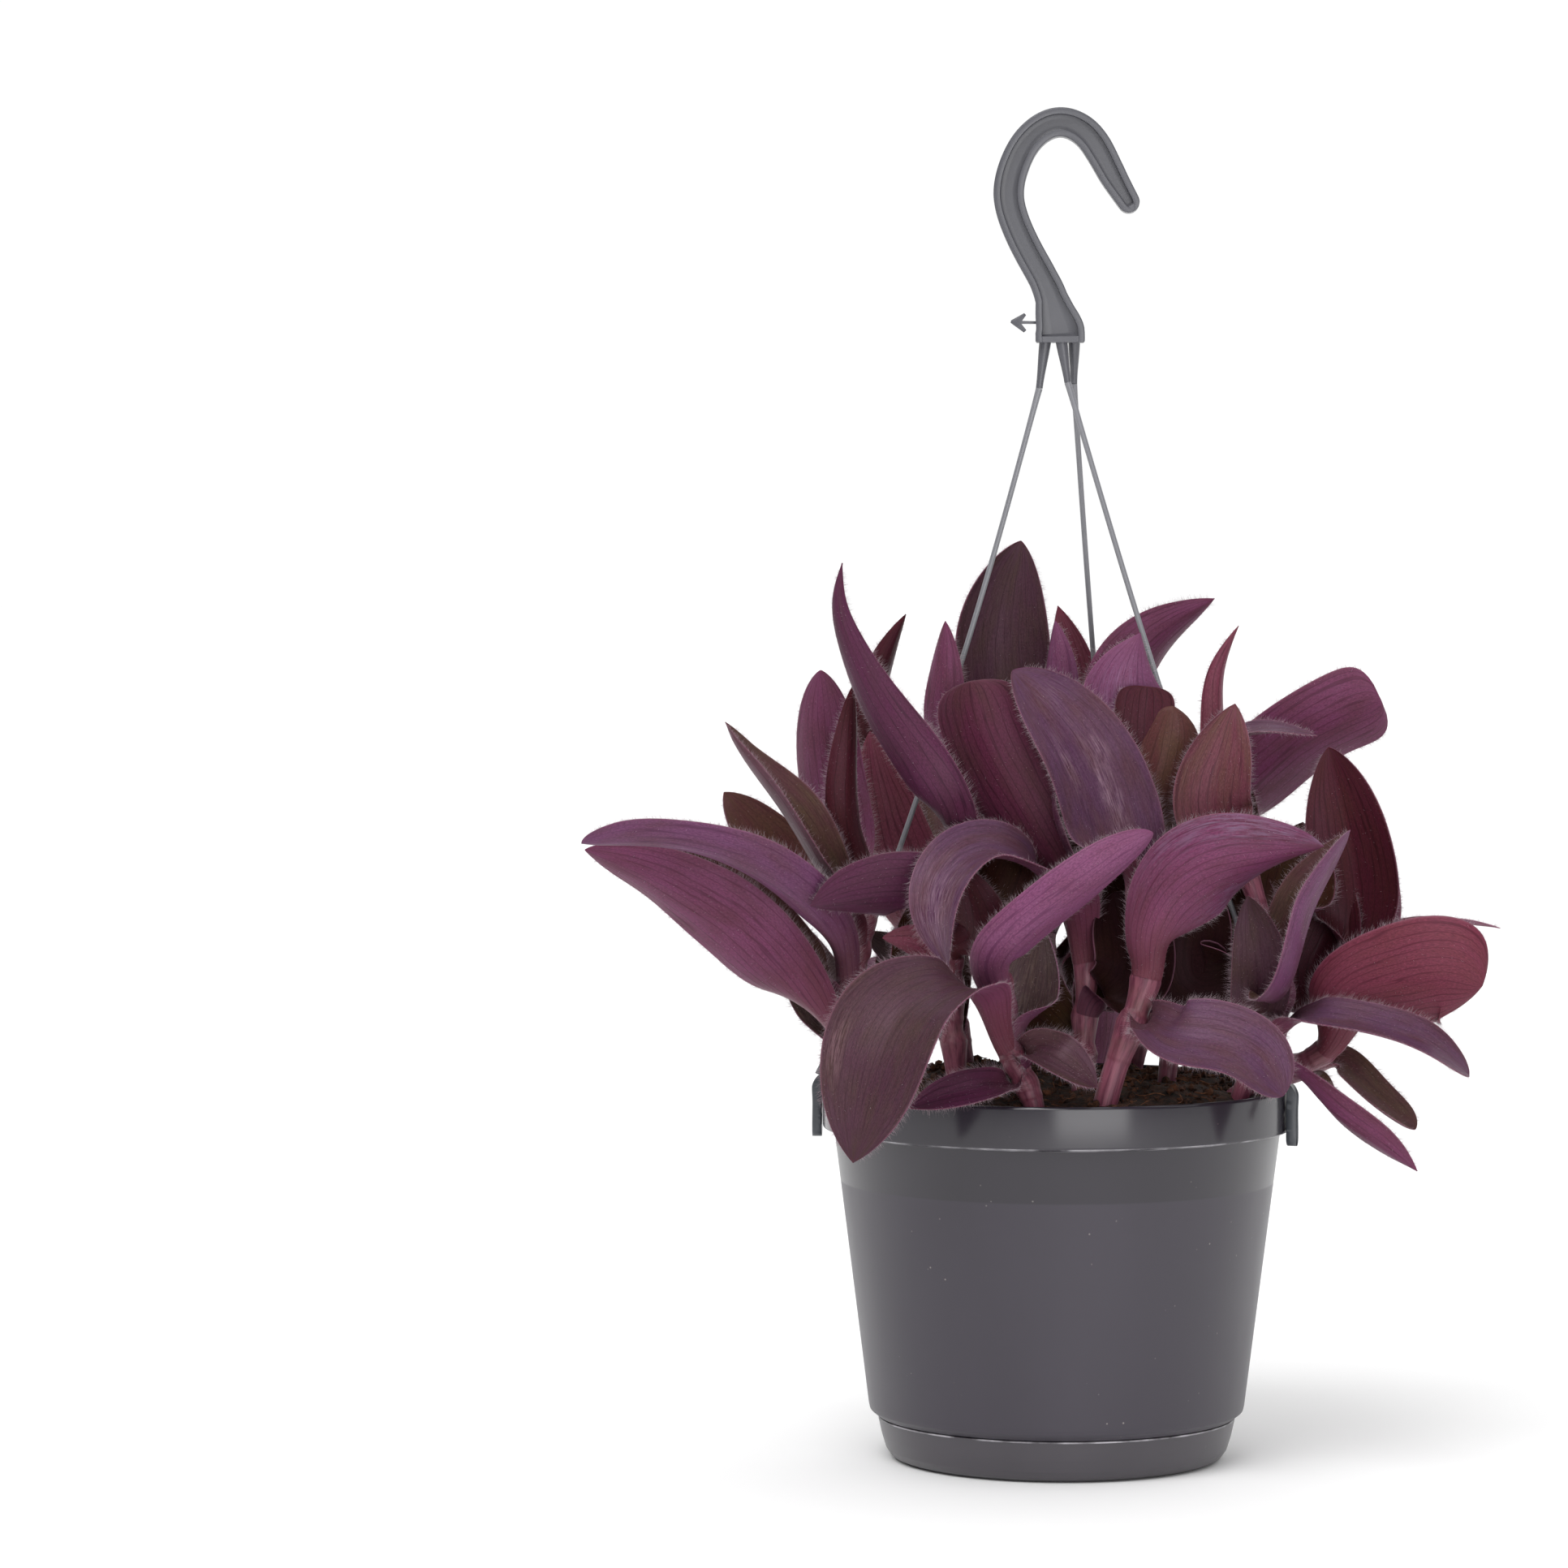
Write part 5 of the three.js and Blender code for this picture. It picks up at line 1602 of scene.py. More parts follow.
    def hairs(self, stem: Stem, spacing: float, on_faces: int) -> tuple[np.ndarray, ...]:
        """Roots, directions and lengths of the hairs on both margins and both faces.

        A margin hair leans outwards and forwards, and is 0.8 to 5.3 mm long, longer towards
        the foot. A face hair stands up, leans forwards and is 0.4 to 1.2 mm long, and face
        hairs stand closer together near the foot.

        Args:
            stem: the stem that carries the leaf.
            spacing: mean distance between margin hairs in millimetres.
            on_faces: how many stand on the two faces.

        Returns:
            Arrays of roots, directions and lengths.
        """
        s = self.skins(stem)
        rows, columns = s.u.shape
        on_margin = int(2 * s.length / spacing)
        count = on_margin + on_faces
        margin = np.arange(count) < on_margin
        u = np.where(margin, RANDOM.random(count) ** 0.9, RANDOM.random(count) ** 1.6 * 0.9)
        u = u * 0.97 + 0.01
        side = np.where(RANDOM.random(count) > 0.5, 1.0, -1.0)
        v = np.where(margin, side, np.clip(RANDOM.normal(0, 0.75, count), -0.95, 0.95))
        row = np.interp(u, s.u[:, 0], np.arange(rows))
        column = np.interp(v, s.v[0], np.arange(columns))
        low = np.minimum(row.astype(int), rows - 2)
        near = np.clip(np.round(column).astype(int), 0, columns - 1)
        inner = np.where(margin, near - (2 * side).astype(int), near)
        part = (row - low)[:, None]
        middle = (s.upper + s.lower) / 2
        root = middle[low, near] * (1 - part) + middle[low + 1, near] * part
        within = middle[low, inner] * (1 - part) + middle[low + 1, inner] * part
        ahead = unit(middle[low + 1, near] - middle[low, near])
        skin = np.where(RANDOM.random(count) > 0.5, 1.0, -1.0)[:, None]
        across = s.upper[low, near] - s.lower[low, near]
        out = np.where(margin[:, None], unit(root - within), unit(across) * skin)
        lean = np.where(margin, 0.4, 0.6)[:, None]
        way = unit(out + lean * ahead + RANDOM.normal(0, 0.3, (count, 3)))
        root = np.where(margin[:, None], root - out * 0.1, root + across * skin * 0.42)
        thick = 1.3 - 0.55 * u
        long = (1.1 + 3.0 * RANDOM.random(count) ** 1.3) * thick
        length = np.where(margin, long, 0.4 + 0.8 * RANDOM.random(count))
        return root, way, length


def hair_spikes(roots: np.ndarray, ways: np.ndarray, lengths: np.ndarray, thick: float) -> Surface:
    """Hairs as thin three-sided spikes.

    Each has a ring of three points round its root. Its tip is at root + length * (way +
    0.12 down).

    Args:
        roots: where each hair stands.
        ways: its direction.
        lengths: its length.
        thick: radius at the root in millimetres.

    Returns:
        All the hairs as one surface of closed spikes.
    """
    count = len(roots)
    side = unit(np.cross(ways, np.array([0.2, 0.3, 0.93])))
    up = np.cross(ways, side)
    angle = np.array([0, 2, 4]) * np.pi / 3
    ring = circle(side, up, angle)
    tip = roots + (ways + np.array([0, 0, -0.12])) * lengths[:, None]
    points = np.concatenate([roots[:, None] + ring * thick, tip[:, None]], 1)
    pattern = np.array([[0, 2, 1], [0, 1, 3], [1, 2, 3], [2, 0, 3]])
    faces = (pattern[None] + 4 * np.arange(count)[:, None, None]).reshape(-1, 3)
    return Surface(points.reshape(-1, 3), faces.tolist())


def shaded(
    name: str, stem: str, at: float, width: float, midrib: list, broad: bool = True,
    face: tuple = (0.1, -0.95, 0.1), upper: Skin = Skin.SHADED_OLIVE, slot: str = "leaf_olive",
) -> Leaf:
    """A leaf inside the plant, dark with painted shade, for scene.py only; a broad one narrows
    late.

    Args:
        name: where it grows.
        stem: the stem that carries it.
        at: share of the stem's length above the mix at which it leaves the stem.
        width: at the widest part.
        midrib: points of the midrib after its foot.
        broad: whether it narrows late.
        face: the way that its upper side looks.
        upper: skin of the upper side.
        slot: the record's material slot.

    Returns:
        The leaf.
    """
    shape = {"blunt": 4, "tip": 0.7} if broad else {}
    return Leaf(
        name, stem, at, width, midrib, face, upper, Skin.VIOLET, slot, curl=60, node=False, **shape
    )


STEMS = [
    Stem("front_left", 3.2,
         [[-8, -70, 135], [-12, -69, 145], [-17, -67, 156], [-18, -62, 168], [-18, -54, 183]]),
    Stem("front_mid", 4.4, [[17, -64, 135], [25, -62, 160], [31, -58, 178], [32, -50, 200]]),
    Stem("inner", 3.6, [[9, -38, 141], [10, -34, 166], [11, -28, 193], [12, -20, 213]]),
    Stem("left", 3.4,
         [[-65, -22, 137], [-74, -22, 151], [-75, -20, 172], [-70, -14, 192], [-69, -8, 206]]),
    Stem("mid_left", 3.4,
         [[-36, -28, 140], [-38, -30, 172], [-36, -28, 201], [-30, -20, 224], [-23, -12, 244]]),
    Stem("back", 3.4, [[-2, 18, 142], [-5, 18, 181], [-4, 16, 216], [-1, 14, 246]]),
    Stem("upper_right", 3.4, [[40, -10, 142], [44, -8, 176], [40, -6, 209], [37, -2, 238]]),
    Stem("right", 3.4,
         [[66, -36, 138], [74, -40, 158], [78, -40, 173], [74, -34, 196], [66, -28, 219]]),
    Stem("far_right", 3.4, [[66, -26, 136], [86, -30, 146], [99, -32, 155], [103, -30, 170]]),
    Stem("back_left", 3.2, [[-34, 45, 140], [-42, 50, 172], [-46, 50, 205]]),
    Stem("back_right", 3.2, [[29, 48, 139], [37, 52, 175], [41, 52, 208]]),
]

LEAVES = [
    # the fan on the left
    Leaf("left_low", "left", 0.27, 33,
         [[-91, -34, 170], [-113, -42, 193], [-139, -46, 211], [-168, -44, 223]], (0.05, 0.9, 0.4),
         Skin.OLIVE, Skin.MAGENTA, "leaf_magenta", (0.1, 0.8, 0.6), curl=50, tip=0.75, lift=0.6),
    Leaf("left_arch", "left", 0.52, 26,
         [[-83, -42, 196], [-99, -58, 212], [-125, -66, 224], [-168, -58, 226]], (0, 0.6, 1),
         Skin.OLIVE, Skin.MAUVE, "leaf_mauve", (0, 0.5, 1), curl=95, tip=0.6, blunt=2.8),
    Leaf("left_rise", "left", 0.7, 33,
         [[-84, -31, 214], [-97, -34, 236], [-114, -28, 259], [-119, -26, 268]], (0.96, -0.3, 0.5),
         Skin.OLIVE, Skin.PLUM, "leaf_olive", curl=100, tip=0.9),
    Leaf("left_behind", "left", 0.62, 29, [[-93, 10, 206], [-108, 14, 223], [-122, 16, 241]],
         (0.5, -0.8, 0.3), Skin.BROWN, Skin.PLUM, "leaf_olive", curl=45, blunt=3, tip=0.8),
    Leaf("left_tall", "left", 0.86, 28, [[-80, 4, 226], [-85, 6, 255], [-86, 4, 286]],
         (0.3, 0.9, 0.2), Skin.OLIVE, Skin.MAGENTA, "leaf_magenta", tip=0.7, blunt=3),
    Leaf("left_rust", "back_left", 0.45, 29, [[-52, 34, 200], [-62, 30, 230], [-69, 28, 263]],
         (-0.1, 0.9, 0.2), Skin.OLIVE, Skin.RUST, "leaf_rust", curl=40),
    # left of the middle
    Leaf("long_blade", "mid_left", 0.64, 23,
         [[-41, -50, 239], [-60, -50, 269], [-74, -46, 296], [-78, -43, 311], [-76.5, -40, 325]],
         (0.35, 0.9, 0.25), Skin.OLIVE, Skin.VIOLET, "leaf_mauve", curl=80, tip=1.0, widest=0.35,
         blunt=1.7),
    Leaf("square_tip", "inner", 0.8, 34,
         [[-2, -31, 221], [-15, -33, 243], [-26, -33, 264], [-31, -32, 283]], (0.2, 0.95, 0.2),
         Skin.OLIVE, Skin.PLUM, "leaf_plum", curl=45, blunt=9, tip=0.5, widest=0.6),
    Leaf("arch", "inner", 0.55, 36,
         [[-4, -52, 213], [-27, -64, 223], [-40, -73, 209], [-38, -73, 184]], (-0.1, -0.3, 1),
         Skin.SLATE, Skin.MAGENTA, "leaf_slate", (-0.8, -0.8, 0.2), curl=50,
         silk=((0.85, 0, 0.15, 0.7, 0.8),)),
    Leaf("point_left", "mid_left", 0.42, 33, [[-47, -50, 206], [-65, -58, 208], [-87, -56, 204]],
         (0, 0.8, 0.6), Skin.OLIVE, Skin.VIOLET, "leaf_plum", tip=0.85),
    # the top
    Leaf("top", "back", 0.66, 37, [[-17, 24, 264], [-21, 26, 296], [-13.5, 22, 333]],
         (0.15, -1, 0.1), Skin.DUSK, Skin.MAGENTA, "leaf_slate", curl=55, tip=0.75, widest=0.62),
    Leaf("top_behind", "back_left", 0.96, 30, [[-20, 54, 236], [4, 50, 276], [0, 44, 309]],
         (0.2, -1, 0.1), Skin.RUST, Skin.PLUM, "leaf_rust", curl=50, tip=0.9),
    Leaf("front_broad", "front_mid", 0.97, 37, [[19, -44, 232], [7, -47, 261], [-16, -44, 287]],
         (0.2, -0.95, 0.3), Skin.SLATE, Skin.MAGENTA, "leaf_slate", (0.1, -0.9, 0.5), curl=55,
         blunt=2.8, tip=0.7, widest=0.38, swell=1.0,
         silk=((0.6, 0.35, 0.06, 0.1, 0.9), (0.47, 0.12, 0.15, 0.09, 1.0),
               (0.4, 0.3, 0.1, 0.06, 0.6), (0.62, -0.42, 0.08, 0.1, 0.8),
               (0.85, 0.2, 0.06, 0.4, 0.25))),
    Leaf("dark_fold", "inner", 0.98, 26, [[7, -14, 230], [1, -13, 252]], (0.2, -0.95, 0.1),
         Skin.SHADED_OLIVE, Skin.PLUM, "leaf_olive", curl=80),
    Leaf("top_right", "upper_right", 0.92, 29, [[24, 20, 279], [36, 22, 298], [57, 18, 312]],
         (-0.3, 0.85, 0.4), Skin.OLIVE, Skin.MAGENTA, "leaf_magenta", tip=0.95),
    # painted light: the brighter magenta underside and the pale spot near the tip stand for light
    # falling on the bent tip
    Leaf("bent_tip", "upper_right", 0.98, 31, [[28, -19, 262], [24, -22, 281], [29.5, -21, 300]],
         (-0.2, 0.95, -0.1), Skin.DUSK, Skin.BRIGHT, "leaf_magenta", blunt=1.4, tip=1.0,
         widest=0.66, silk=((0.72, 0.1, 0.14, 0.6, 0.9),)),
    Leaf("olive_mid", "upper_right", 0.8, 29, [[34, -24, 240], [37, -27, 256], [41, -26, 274]],
         (0.1, 0.9, 0.2), Skin.OLIVE, Skin.BROWN, "leaf_olive", blunt=4, tip=0.7, widest=0.5),
    # the right
    Leaf("right_upright", "right", 0.96, 29, [[56, -36, 236], [58, -36, 256], [63, -33, 275]],
         (-0.1, -1, 0.1), Skin.ROSE, Skin.MAGENTA, "leaf_rose", curl=50, widest=0.38),
    Leaf("right_curl", "back_right", 0.92, 15, [[59, 26, 261], [59.5, 26, 284], [66, 24, 302]],
         (-0.7, 0.6, 0.2), Skin.ROSE, Skin.RUST, "leaf_rose", curl=110),
    Leaf("right_high", "back_right", 0.86, 34,
         [[62, 20, 235], [86, 8, 258.5], [103, 4, 269], [117, 2, 275]], (-0.3, 0.9, 0.3),
         Skin.OLIVE, Skin.MAGENTA, "leaf_magenta", curl=40, blunt=14, tip=0.42, widest=0.6),
    Leaf("right_sickle", "far_right", 0.99, 34, [[106, -20, 191], [105, -21, 226], [97, -17, 259]],
         (-0.3, -0.95, 0.1), Skin.MAROON, Skin.PLUM, "leaf_maroon", curl=55, tip=0.75, widest=0.5),
    Leaf("right_thin", "far_right", 0.75, 15, [[120, 0, 190], [140, 2, 195], [160, 2, 193]],
         (0, -0.02, 1), Skin.ROSE, Skin.PALE, "leaf_rose"),
    Leaf("fan", "front_mid", 0.66, 37,
         [[33, -69, 192], [40, -72, 208], [53, -74, 218], [69, -73, 222], [93, -66, 226]],
         (0, 1, 0.1), Skin.SLATE, Skin.MAGENTA, "leaf_magenta", (0.05, 0.55, 0.85), swell=1.7,
         tip_curl=95, widest=0.52,
         silk=((0.75, -0.9, 0.3, 0.35, 1.5), (0.75, 0.9, 0.3, 0.35, 1.5))),
    Leaf("right_cup", "right", 0.3, 39,
         [[82, -60, 179], [89, -59, 203], [96, -56, 217], [103, -51, 231]], (-0.93, -0.22, 0.35),
         Skin.OLIVE, Skin.MAUVE, "leaf_olive", curl=115),
    Leaf("right_wing", "far_right", 0.6, 42,
         [[104, -53, 172], [120, -60, 178], [135, -63, 181], [149, -60, 177]], (-0.1, 0.95, 0.3),
         Skin.OLIVE, Skin.WINE, "leaf_rose", curl=38, blunt=3.2, tip=0.55, lift=0.3, widest=0.7),
    Leaf("right_strap", "right", 0.22, 19,
         [[90, -65, 166], [108, -71, 164], [127, -72, 158], [144, -66, 146]], (0.1, -0.55, 0.85),
         Skin.SLATE, Skin.MAGENTA, "leaf_slate", curl=50, blunt=5, tip=0.55, lift=0.6),
    Leaf("front_right", "front_mid", 0.42, 30,
         [[38, -84, 162], [53, -91, 160], [68, -94, 154], [78, -93, 141]], (0.1, -0.8, 0.6),
         Skin.SLATE, Skin.MAGENTA, "leaf_slate", curl=45, blunt=2.8, tip=0.7, lift=0.3, swell=1.8,
         widest=0.55),
    Leaf("rim_right_high", "far_right", 0.38, 15,
         [[98, -20, 146], [112, -24, 136], [128, -28, 123]], (0.1, -0.6, 0.8), Skin.OLIVE,
         Skin.ROSE, "leaf_olive", curl=80, blunt=4, tip=0.55, lift=0.3),
    Leaf("rim_right_low", "far_right", 0.3, 21,
         [[87, -53, 143], [97, -67, 133], [111, -70, 123], [126, -68, 112.5]], (0.2, 0.5, 0.8),
         Skin.OLIVE, Skin.MAGENTA, "leaf_magenta", lift=0.3, widest=0.5, tip=0.9),
    # the front
    Leaf("front_drape", "front_left", 0.38, 42,
         [[-32, -92, 178], [-51, -104, 172], [-63, -112, 150], [-70, -110, 119]], (-0.2, -0.5, 0.9),
         Skin.DUSK, Skin.MAGENTA, "leaf_slate", (-0.1, -1, 0.1), curl=40, blunt=2.4, widest=0.55,
         swell=1.9, tip=0.9, silk=((0.7, 0.75, 0.07, 0.12, 0.9),)),
    Leaf("finger", "front_left", 0.6, 21,
         [[-21, -84, 186], [-9, -91, 200], [8, -94, 213], [24, -93, 225], [33, -92, 232]],
         (-0.1, 0.9, 0.4), Skin.OLIVE, Skin.BRIGHT, "leaf_magenta", (-0.3, 0.85, 0.5), curl=90,
         blunt=5, tip=0.6, widest=0.35),
    Leaf("low_centre", "front_left", 0.3, 18, [[-1, -84, 154], [14, -85, 143]], (0.1, -0.8, 0.6),
         Skin.DUSK, Skin.VIOLET, "leaf_plum", curl=50, lift=0.1),
    Leaf("low_left", "front_left", 0.16, 16, [[-25, -86, 143], [-51, -101, 137]], (0, -0.8, 0.7),
         Skin.VIOLET, Skin.VIOLET, "leaf_plum", curl=50, lift=0.1),
    # behind
    Leaf("back_drape_left", "back_left", 0.3, 32, [[-52, 68, 172], [-68, 94, 158], [-71, 112, 118]],
         (-0.3, 0.3, 1), Skin.SLATE, Skin.MAGENTA, "leaf_magenta", (-0.5, 0.9, 0.2)),
    Leaf("back_drape_mid", "back", 0.25, 34, [[4, 62, 176], [10, 96, 164], [14, 120, 122]],
         (0, 0.3, 1), Skin.SLATE, Skin.MAGENTA, "leaf_slate", (0.1, 1, 0.2)),
    Leaf("back_drape_right", "back_right", 0.3, 32, [[56, 74, 172], [72, 96, 156], [74, 114, 118]],
         (0.3, 0.3, 1), Skin.OLIVE, Skin.MAGENTA, "leaf_magenta", (0.5, 0.9, 0.2)),
    Leaf("back_high_left", "back_left", 0.8, 30, [[-54, 72, 236], [-62, 94, 262]], (0.4, -0.8, 0.4),
         Skin.OLIVE, Skin.MAUVE, "leaf_olive"),
    Leaf("back_high_right", "back_right", 0.6, 30, [[56, 80, 230], [64, 100, 254]],
         (-0.4, -0.8, 0.4), Skin.OLIVE, Skin.MAGENTA, "leaf_olive"),
    Leaf("back_mid", "back", 0.55, 32, [[-4, 60, 218], [-12, 98, 236]], (0, -0.8, 0.5), Skin.SLATE,
         Skin.MAGENTA, "leaf_plum"),
    # small leaves that only fill the gaps
    Leaf("left_edge", "left", 0.97, 14, [[-75, -20, 230], [-75.5, -22, 256], [-73.5, -20, 281]],
         (-0.5, 0.8, 0.1), Skin.MAROON, Skin.MAROON, "leaf_maroon", curl=70, node=False),
    Leaf("left_shadow", "left", 0.4, 20,
         [[-92, -28, 184], [-114, -36, 206], [-140, -40, 220], [-160, -42, 224]], (0, -0.95, 0.3),
         Skin.OLIVE, Skin.MAUVE, "leaf_slate", curl=40, node=False),
    Leaf("left_grey", "left", 0.18, 24, [[-85, -8, 169], [-94, -10, 196]], (-0.2, -1, 0.4),
         Skin.GREY, Skin.MAUVE, "leaf_slate", node=False),
    Leaf("dark_spike", "back_left", 0.55, 20, [[-68, 36, 257], [-66, 36, 281], [-56, 34, 306]],
         (-0.5, 0.8, 0.1), Skin.MAROON, Skin.MAROON, "leaf_maroon", curl=90, node=False),
    Leaf("pink_spike", "mid_left", 0.9, 18, [[-40, -13, 262], [-41, -11, 284], [-40.5, -9, 304]],
         (0.3, 0.9, 0.2), Skin.OLIVE, Skin.MAGENTA, "leaf_magenta", curl=70, widest=0.4,
         node=False),
    Leaf("arch_inner", "mid_left", 0.4, 22, [[-29, -50, 192], [-35, -54, 219]], (0.3, 0.9, 0.2),
         Skin.SHADED_OLIVE, Skin.MAROON, "leaf_maroon", curl=50, node=False),
    Leaf("small_left", "mid_left", 0.32, 14, [[-47, -42, 189], [-62, -44, 192]], (0, 0.9, 0.3),
         Skin.OLIVE, Skin.RUST, "leaf_maroon", curl=50, node=False),
    Leaf("grey_left", "mid_left", 0.25, 20, [[-54, 12, 180], [-71, 16, 190]], (0, -1, 0.4),
         Skin.GREY, Skin.MAUVE, "leaf_slate", curl=40, node=False),
    Leaf("top_small", "back", 0.98, 16, [[0, 4, 279], [-1, 4, 304]], (0.3, 0.9, 0.1), Skin.BRIGHT,
         Skin.BRIGHT, "leaf_rose", curl=110, node=False),
    # painted shade: a dark maroon leaf under the bent tip, standing for the shaded lower part of
    # that fold
    Leaf("slate_quad", "upper_right", 0.88, 22, [[31, -23, 255], [31.5, -23.5, 281]],
         (0.1, -0.9, 0.1), Skin.MAROON, Skin.PLUM, "leaf_slate", curl=20, blunt=14, tip=0.4,
         node=False),
    Leaf("right_edge", "upper_right", 0.68, 18, [[53, -5, 253], [70, -12, 264], [93, -14, 263]],
         (0, -0.3, 1), Skin.SLATE, Skin.PLUM, "leaf_slate", curl=50, node=False),
    Leaf("sickle_foot", "far_right", 0.7, 30, [[91, -22, 172], [96, -16, 190], [101, -12, 216]],
         (-0.3, -0.95, 0.1), Skin.MAROON, Skin.PLUM, "leaf_maroon", curl=50, node=False),
    Leaf("right_pale", "far_right", 0.99, 24, [[114, -2, 196], [118, 2, 224]], (-0.3, -0.9, 0.1),
         Skin.PALE, Skin.PALE, "leaf_rose", curl=70, node=False),
    Leaf("centre_grey", "front_left", 0.36, 27, [[-10, -60, 170], [-5, -62, 198]],
         (-0.35, -0.9, 0.2), Skin.GREY, Skin.MAUVE, "leaf_slate", curl=80, node=False),
    # large leaves inside the plant, dark with painted shade
    Leaf("fold_strip", "inner", 0.95, 22, [[6, -40, 222], [0, -41, 236], [0, -41, 251]],
         (0.85, -0.5, 0.1), Skin.SHADED_OLIVE, Skin.VIOLET, "leaf_olive", curl=110, tip=0.9,
         node=False),
    Leaf("deep_spike", "mid_left", 0.8, 27, [[-34, -4, 250], [-35, -4, 283]], (0.1, -0.9, 0.2),
         Skin.SHADE, Skin.VIOLET, "leaf_olive", curl=60, blunt=3, tip=0.7, node=False),
    shaded("deep_fan", "right", 0.5, 32, [[54, -36, 176], [52, -34, 212]], face=(-0.1, -0.9, 0.1),
           upper=Skin.SHADE),
    shaded("deep_centre", "inner", 0.3, 30, [[24, -40, 176], [20, -38, 208]], upper=Skin.SHADE),
    shaded("deep_arch", "mid_left", 0.5, 34, [[-24, -18, 206], [-16, -14, 236]]),
    shaded("deep_left", "mid_left", 0.12, 30, [[-46, -8, 178], [-50, -4, 206]], broad=False),
    shaded("deep_inner", "inner", 0.3, 34, [[22, -20, 184], [16, -14, 214]]),
    shaded("deep_low", "inner", 0.12, 30, [[-10, -22, 168], [-16, -14, 196]]),
    shaded("deep_low_right", "upper_right", 0.15, 34, [[30, -2, 172], [26, 4, 204]]),
    shaded("deep_right", "right", 0.45, 34, [[66, -22, 186], [68, -16, 218]],
           face=(-0.1, -0.9, 0.1)),
    Leaf("deep_right_strip", "right", 0.2, 22, [[72, -51, 172], [67, -54, 208]], (-0.2, -0.9, 0.1),
         Skin.DUSK, Skin.VIOLET, "leaf_plum", curl=40, node=False),
    shaded("deep_far_right", "right", 0.6, 32, [[84, -22, 206], [88, -14, 232]], broad=False,
           face=(-0.1, -0.9, 0.1)),
    shaded("deep_upper", "upper_right", 0.3, 34, [[56, 4, 190], [54, 8, 224]], face=(0, -0.9, 0.2),
           upper=Skin.DUSK, slot="leaf_plum"),
    shaded("deep_top_right", "upper_right", 0.5, 32, [[58, 14, 222], [66, 18, 252]], broad=False,
           face=(0, -0.9, 0.2), slot="leaf_plum"),
    shaded("deep_top_left", "mid_left", 0.75, 34, [[-26, 4, 246], [-30, 8, 274]],
           face=(0, -0.9, 0.2), slot="leaf_plum"),
    shaded("deep_back", "back", 0.45, 34, [[10, 30, 214], [16, 34, 248]], face=(0, -0.9, 0.2),
           slot="leaf_plum"),
    shaded("deep_back_left", "back", 0.4, 34, [[-20, 30, 204], [-28, 34, 236]], face=(0, -0.9, 0.2),
           slot="leaf_plum"),
    shaded("low_back", "back", 0.12, 34, [[10, 36, 168], [18, 44, 198]], broad=False,
           face=(0, -0.9, 0.2), slot="leaf_plum"),
    shaded("low_back_right", "back_right", 0.2, 32, [[50, 64, 168], [58, 72, 200]], broad=False,
           face=(0, -0.9, 0.2), slot="leaf_plum"),
    shaded("low_back_left", "back_left", 0.2, 30, [[-52, 62, 165], [-58, 70, 190]], broad=False,
           face=(0, -0.9, 0.2), slot="leaf_plum"),
]


@dataclass
class Plant:
    """All the stems and leaves, and the hairs on them.

    Attributes:
        stems: the stems.
        leaves: the leaves.
        hair_spacing: mean distance between margin hairs in millimetres.
        face_hairs: hairs on the faces of each leaf.
        hair_radius: a hair's radius at its root in millimetres.
    """

    stems: list[Stem]
    leaves: list[Leaf]
    hair_spacing: float = 0.16
    face_hairs: int = 380
    hair_radius: float = 0.034

    def build(self) -> None:
        """Makes the stems, the leaves and the hairs and dresses them."""
        stems = {stem.name: stem for stem in self.stems}
        for leaf in self.leaves:
            stems[leaf.stem].leaf_places.append(leaf.at)
        stem_skin = StemSkin().material()
        skins = {skin: skin.value.material() for skin in Skin}
        for stem in self.stems:
            stem.rod().piece(f"stalk_{stem.name}", [stem_skin], "stem", 50, f"stem_{stem.name}")
        for leaf in self.leaves:
            sides = [skins[leaf.upper], skins[leaf.under]]
            node = f"leaf_{leaf.name}" if leaf.node else ""
            blade = leaf.blade(stems[leaf.stem])
            blade.piece(f"blade_{leaf.name}", sides, leaf.slot, 75, node)
        hair = LeafHair().material()
        seen = [leaf for leaf in self.leaves if leaf.upper is not Skin.SHADE]
        for part, leaves in (("left", seen[0::2]), ("right", seen[1::2])):
            tufts = [
                leaf.hairs(stems[leaf.stem], self.hair_spacing, self.face_hairs)
                for leaf in leaves
            ]
            roots, ways, lengths = (np.concatenate(each) for each in zip(*tufts))
            spikes = hair_spikes(roots, ways, lengths, self.hair_radius)
            spikes.piece(f"leaf_hairs_{part}", [hair], "leaf_rose", 180)


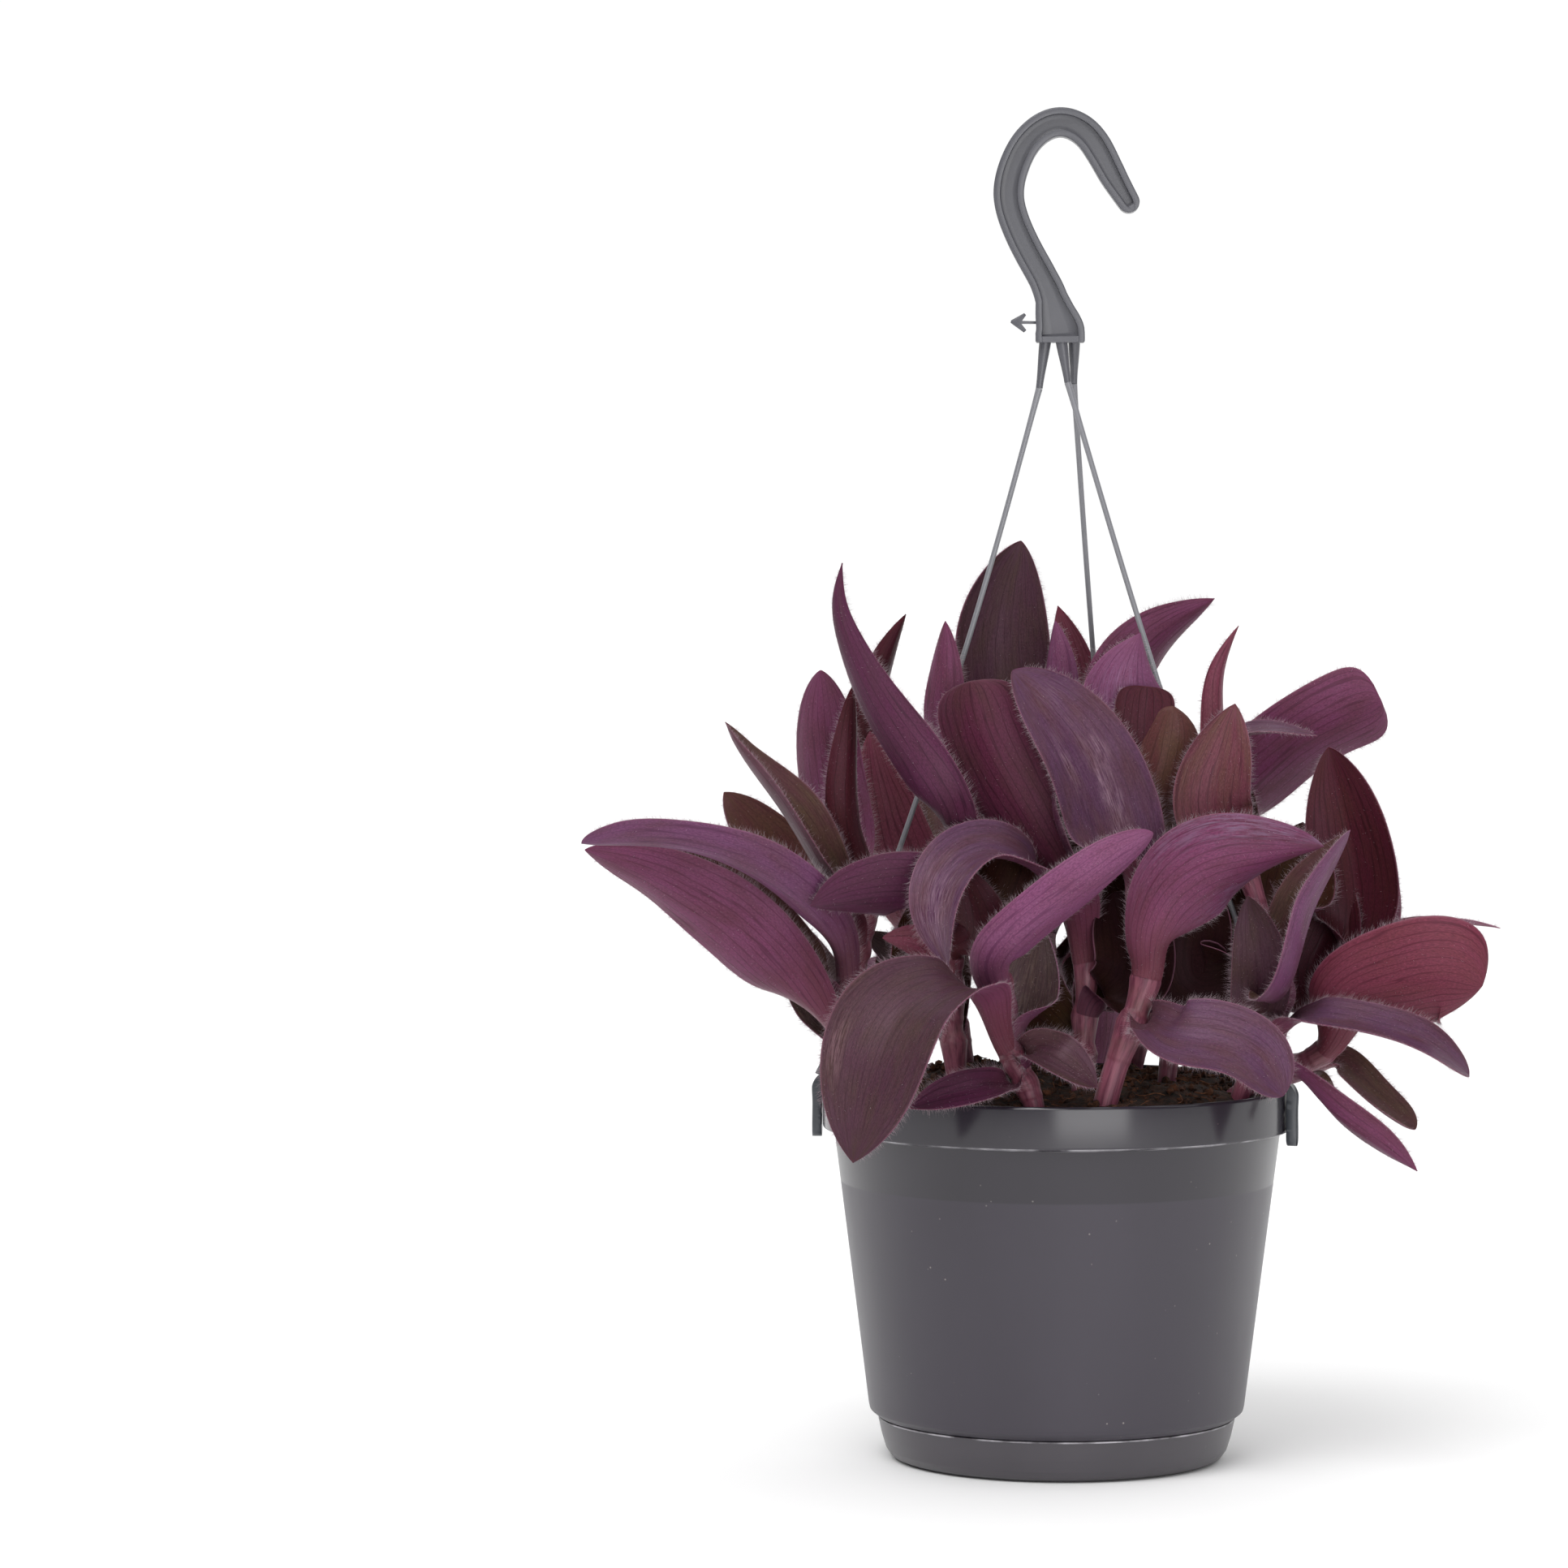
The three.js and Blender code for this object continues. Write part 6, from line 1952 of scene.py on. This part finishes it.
# ---- studio
@dataclass
class Studio:
    """A plain pale floor, soft light all round and the camera.

    Attributes:
        eye: the camera's place in metres.
        yaw: degrees that it looks to the left of +Y.
        pitch: degrees that it looks down.
        lens: focal length in millimetres on a sensor 36 mm wide.
        front_light: brightness of the surroundings behind the camera.
        back_light: brightness of the surroundings behind the object.
        seen_light: brightness of the surroundings as the camera sees them.
    """

    eye: tuple[float, float, float] = (0.0, -2.0, 0.329)
    yaw: float = 2.84
    pitch: float = 2.41
    lens: float = 126.7
    front_light: float = 0.12
    back_light: float = 0.95
    seen_light: float = 1.02

    def floor(self) -> None:
        """A wide pale floor at the height of the saucer's underside."""
        mesh = bpy.data.meshes.new("studio_floor")
        size = 30.0
        corners = [(-size, -size, 0), (size, -size, 0), (size, size, 0), (-size, size, 0)]
        mesh.from_pydata(corners, [], [(0, 1, 2, 3)])
        r = Recipe("painted floor, matt white")
        paint = r.add("BsdfPrincipled", {"Base Color": "f6f6f6", "Roughness": 0.9})
        mesh.materials.append(r.close(paint))
        floor = bpy.data.objects.new("studio_floor", mesh)
        bpy.context.scene.collection.objects.link(floor)

    def softbox(self, name: str, place: tuple, aim: tuple, size: tuple, power: float) -> None:
        """Adds a soft rectangular light.

        Args:
            name: its name.
            place: where it stands in metres.
            aim: the point it looks at.
            size: its width and height in metres.
            power: in watts.
        """
        lamp = bpy.data.lights.new(name, "AREA")
        lamp.shape = "RECTANGLE"
        lamp.size, lamp.size_y, lamp.energy = *size, power
        self.hang(name, lamp, place, aim)

    def hang(self, name: str, lamp: bpy.types.Light, place: tuple, aim: tuple) -> None:
        """Puts a light at a place, turned towards a point, unseen by the camera.

        Args:
            name: its name.
            lamp: the light.
            place: where it stands in metres.
            aim: the point it looks at.
        """
        thing = bpy.data.objects.new(name, lamp)
        thing.location = place
        way = np.array(aim, float) - np.array(place, float)
        level = math.hypot(way[0], way[1])
        thing.rotation_euler = (math.atan2(level, -way[2]), 0, math.atan2(-way[0], way[1]))
        thing.visible_camera = False
        bpy.context.scene.collection.objects.link(thing)

    def sunlight(self, name: str, place: tuple, power: float, spread: float) -> None:
        """Adds a broad even light from far away.

        Args:
            name: its name.
            place: the direction it comes from.
            power: in watts for each square metre.
            spread: angle in degrees that it fills.
        """
        lamp = bpy.data.lights.new(name, "SUN")
        lamp.energy, lamp.angle = power, math.radians(spread)
        self.hang(name, lamp, place, (0, 0, 0))

    def surroundings(self) -> None:
        """White all round for the camera; as light, dim in front and bright behind."""
        r = Recipe("white_room", surroundings=True)
        way = r.add("TexCoord").outputs["Generated"]
        away = r.add("SeparateXYZ", {0: way}).outputs["Y"]
        share = r.add(
            "MapRange",
            {"Value": away, "From Min": -0.6, "From Max": 1.0, "To Min": self.front_light,
             "To Max": self.back_light},
        )
        seen = r.add("LightPath").outputs["Is Camera Ray"]
        pick = r.add("Mix", {SHARE: seen, NUMBER_A: share, NUMBER_B: self.seen_light})
        light = r.add("Background", {"Color": (1, 1, 1, 1), "Strength": pick})
        bpy.context.scene.world = r.close(light, "OutputWorld")

    def camera(self) -> None:
        """The camera at the photograph's viewing angle."""
        data = bpy.data.cameras.new("camera")
        data.lens, data.sensor_width = self.lens, 36.0
        data.clip_end = 200
        thing = bpy.data.objects.new("camera", data)
        thing.location = self.eye
        thing.rotation_euler = (math.radians(90 - self.pitch), 0, math.radians(self.yaw))
        bpy.context.scene.collection.objects.link(thing)
        bpy.context.scene.camera = thing

    def build(self) -> None:
        """Sets up the floor, the lights, the white surroundings and the camera."""
        bpy.context.scene.view_settings.view_transform = "Standard"
        self.surroundings()
        self.floor()
        self.sunlight("key_light", (-0.5, -1.0, 1.35), 2.05, 42)
        self.sunlight("top_light", (0.25, 0.15, 1.0), 1.0, 90)
        self.softbox("right_softbox", (0.45, -1.5, 0.4), (0, 0, 0.15), (1.0, 1.0), 10)
        self.camera()


def main() -> None:
    """Builds the studio and the object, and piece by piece."""
    logging.basicConfig(level=logging.INFO, format="%(name)s: %(message)s")
    Studio().build()
    Pot().build()
    PottingMix().build()
    Hanger().build()
    Plant(STEMS, LEAVES).build()


if __name__ == "__main__":
    main()
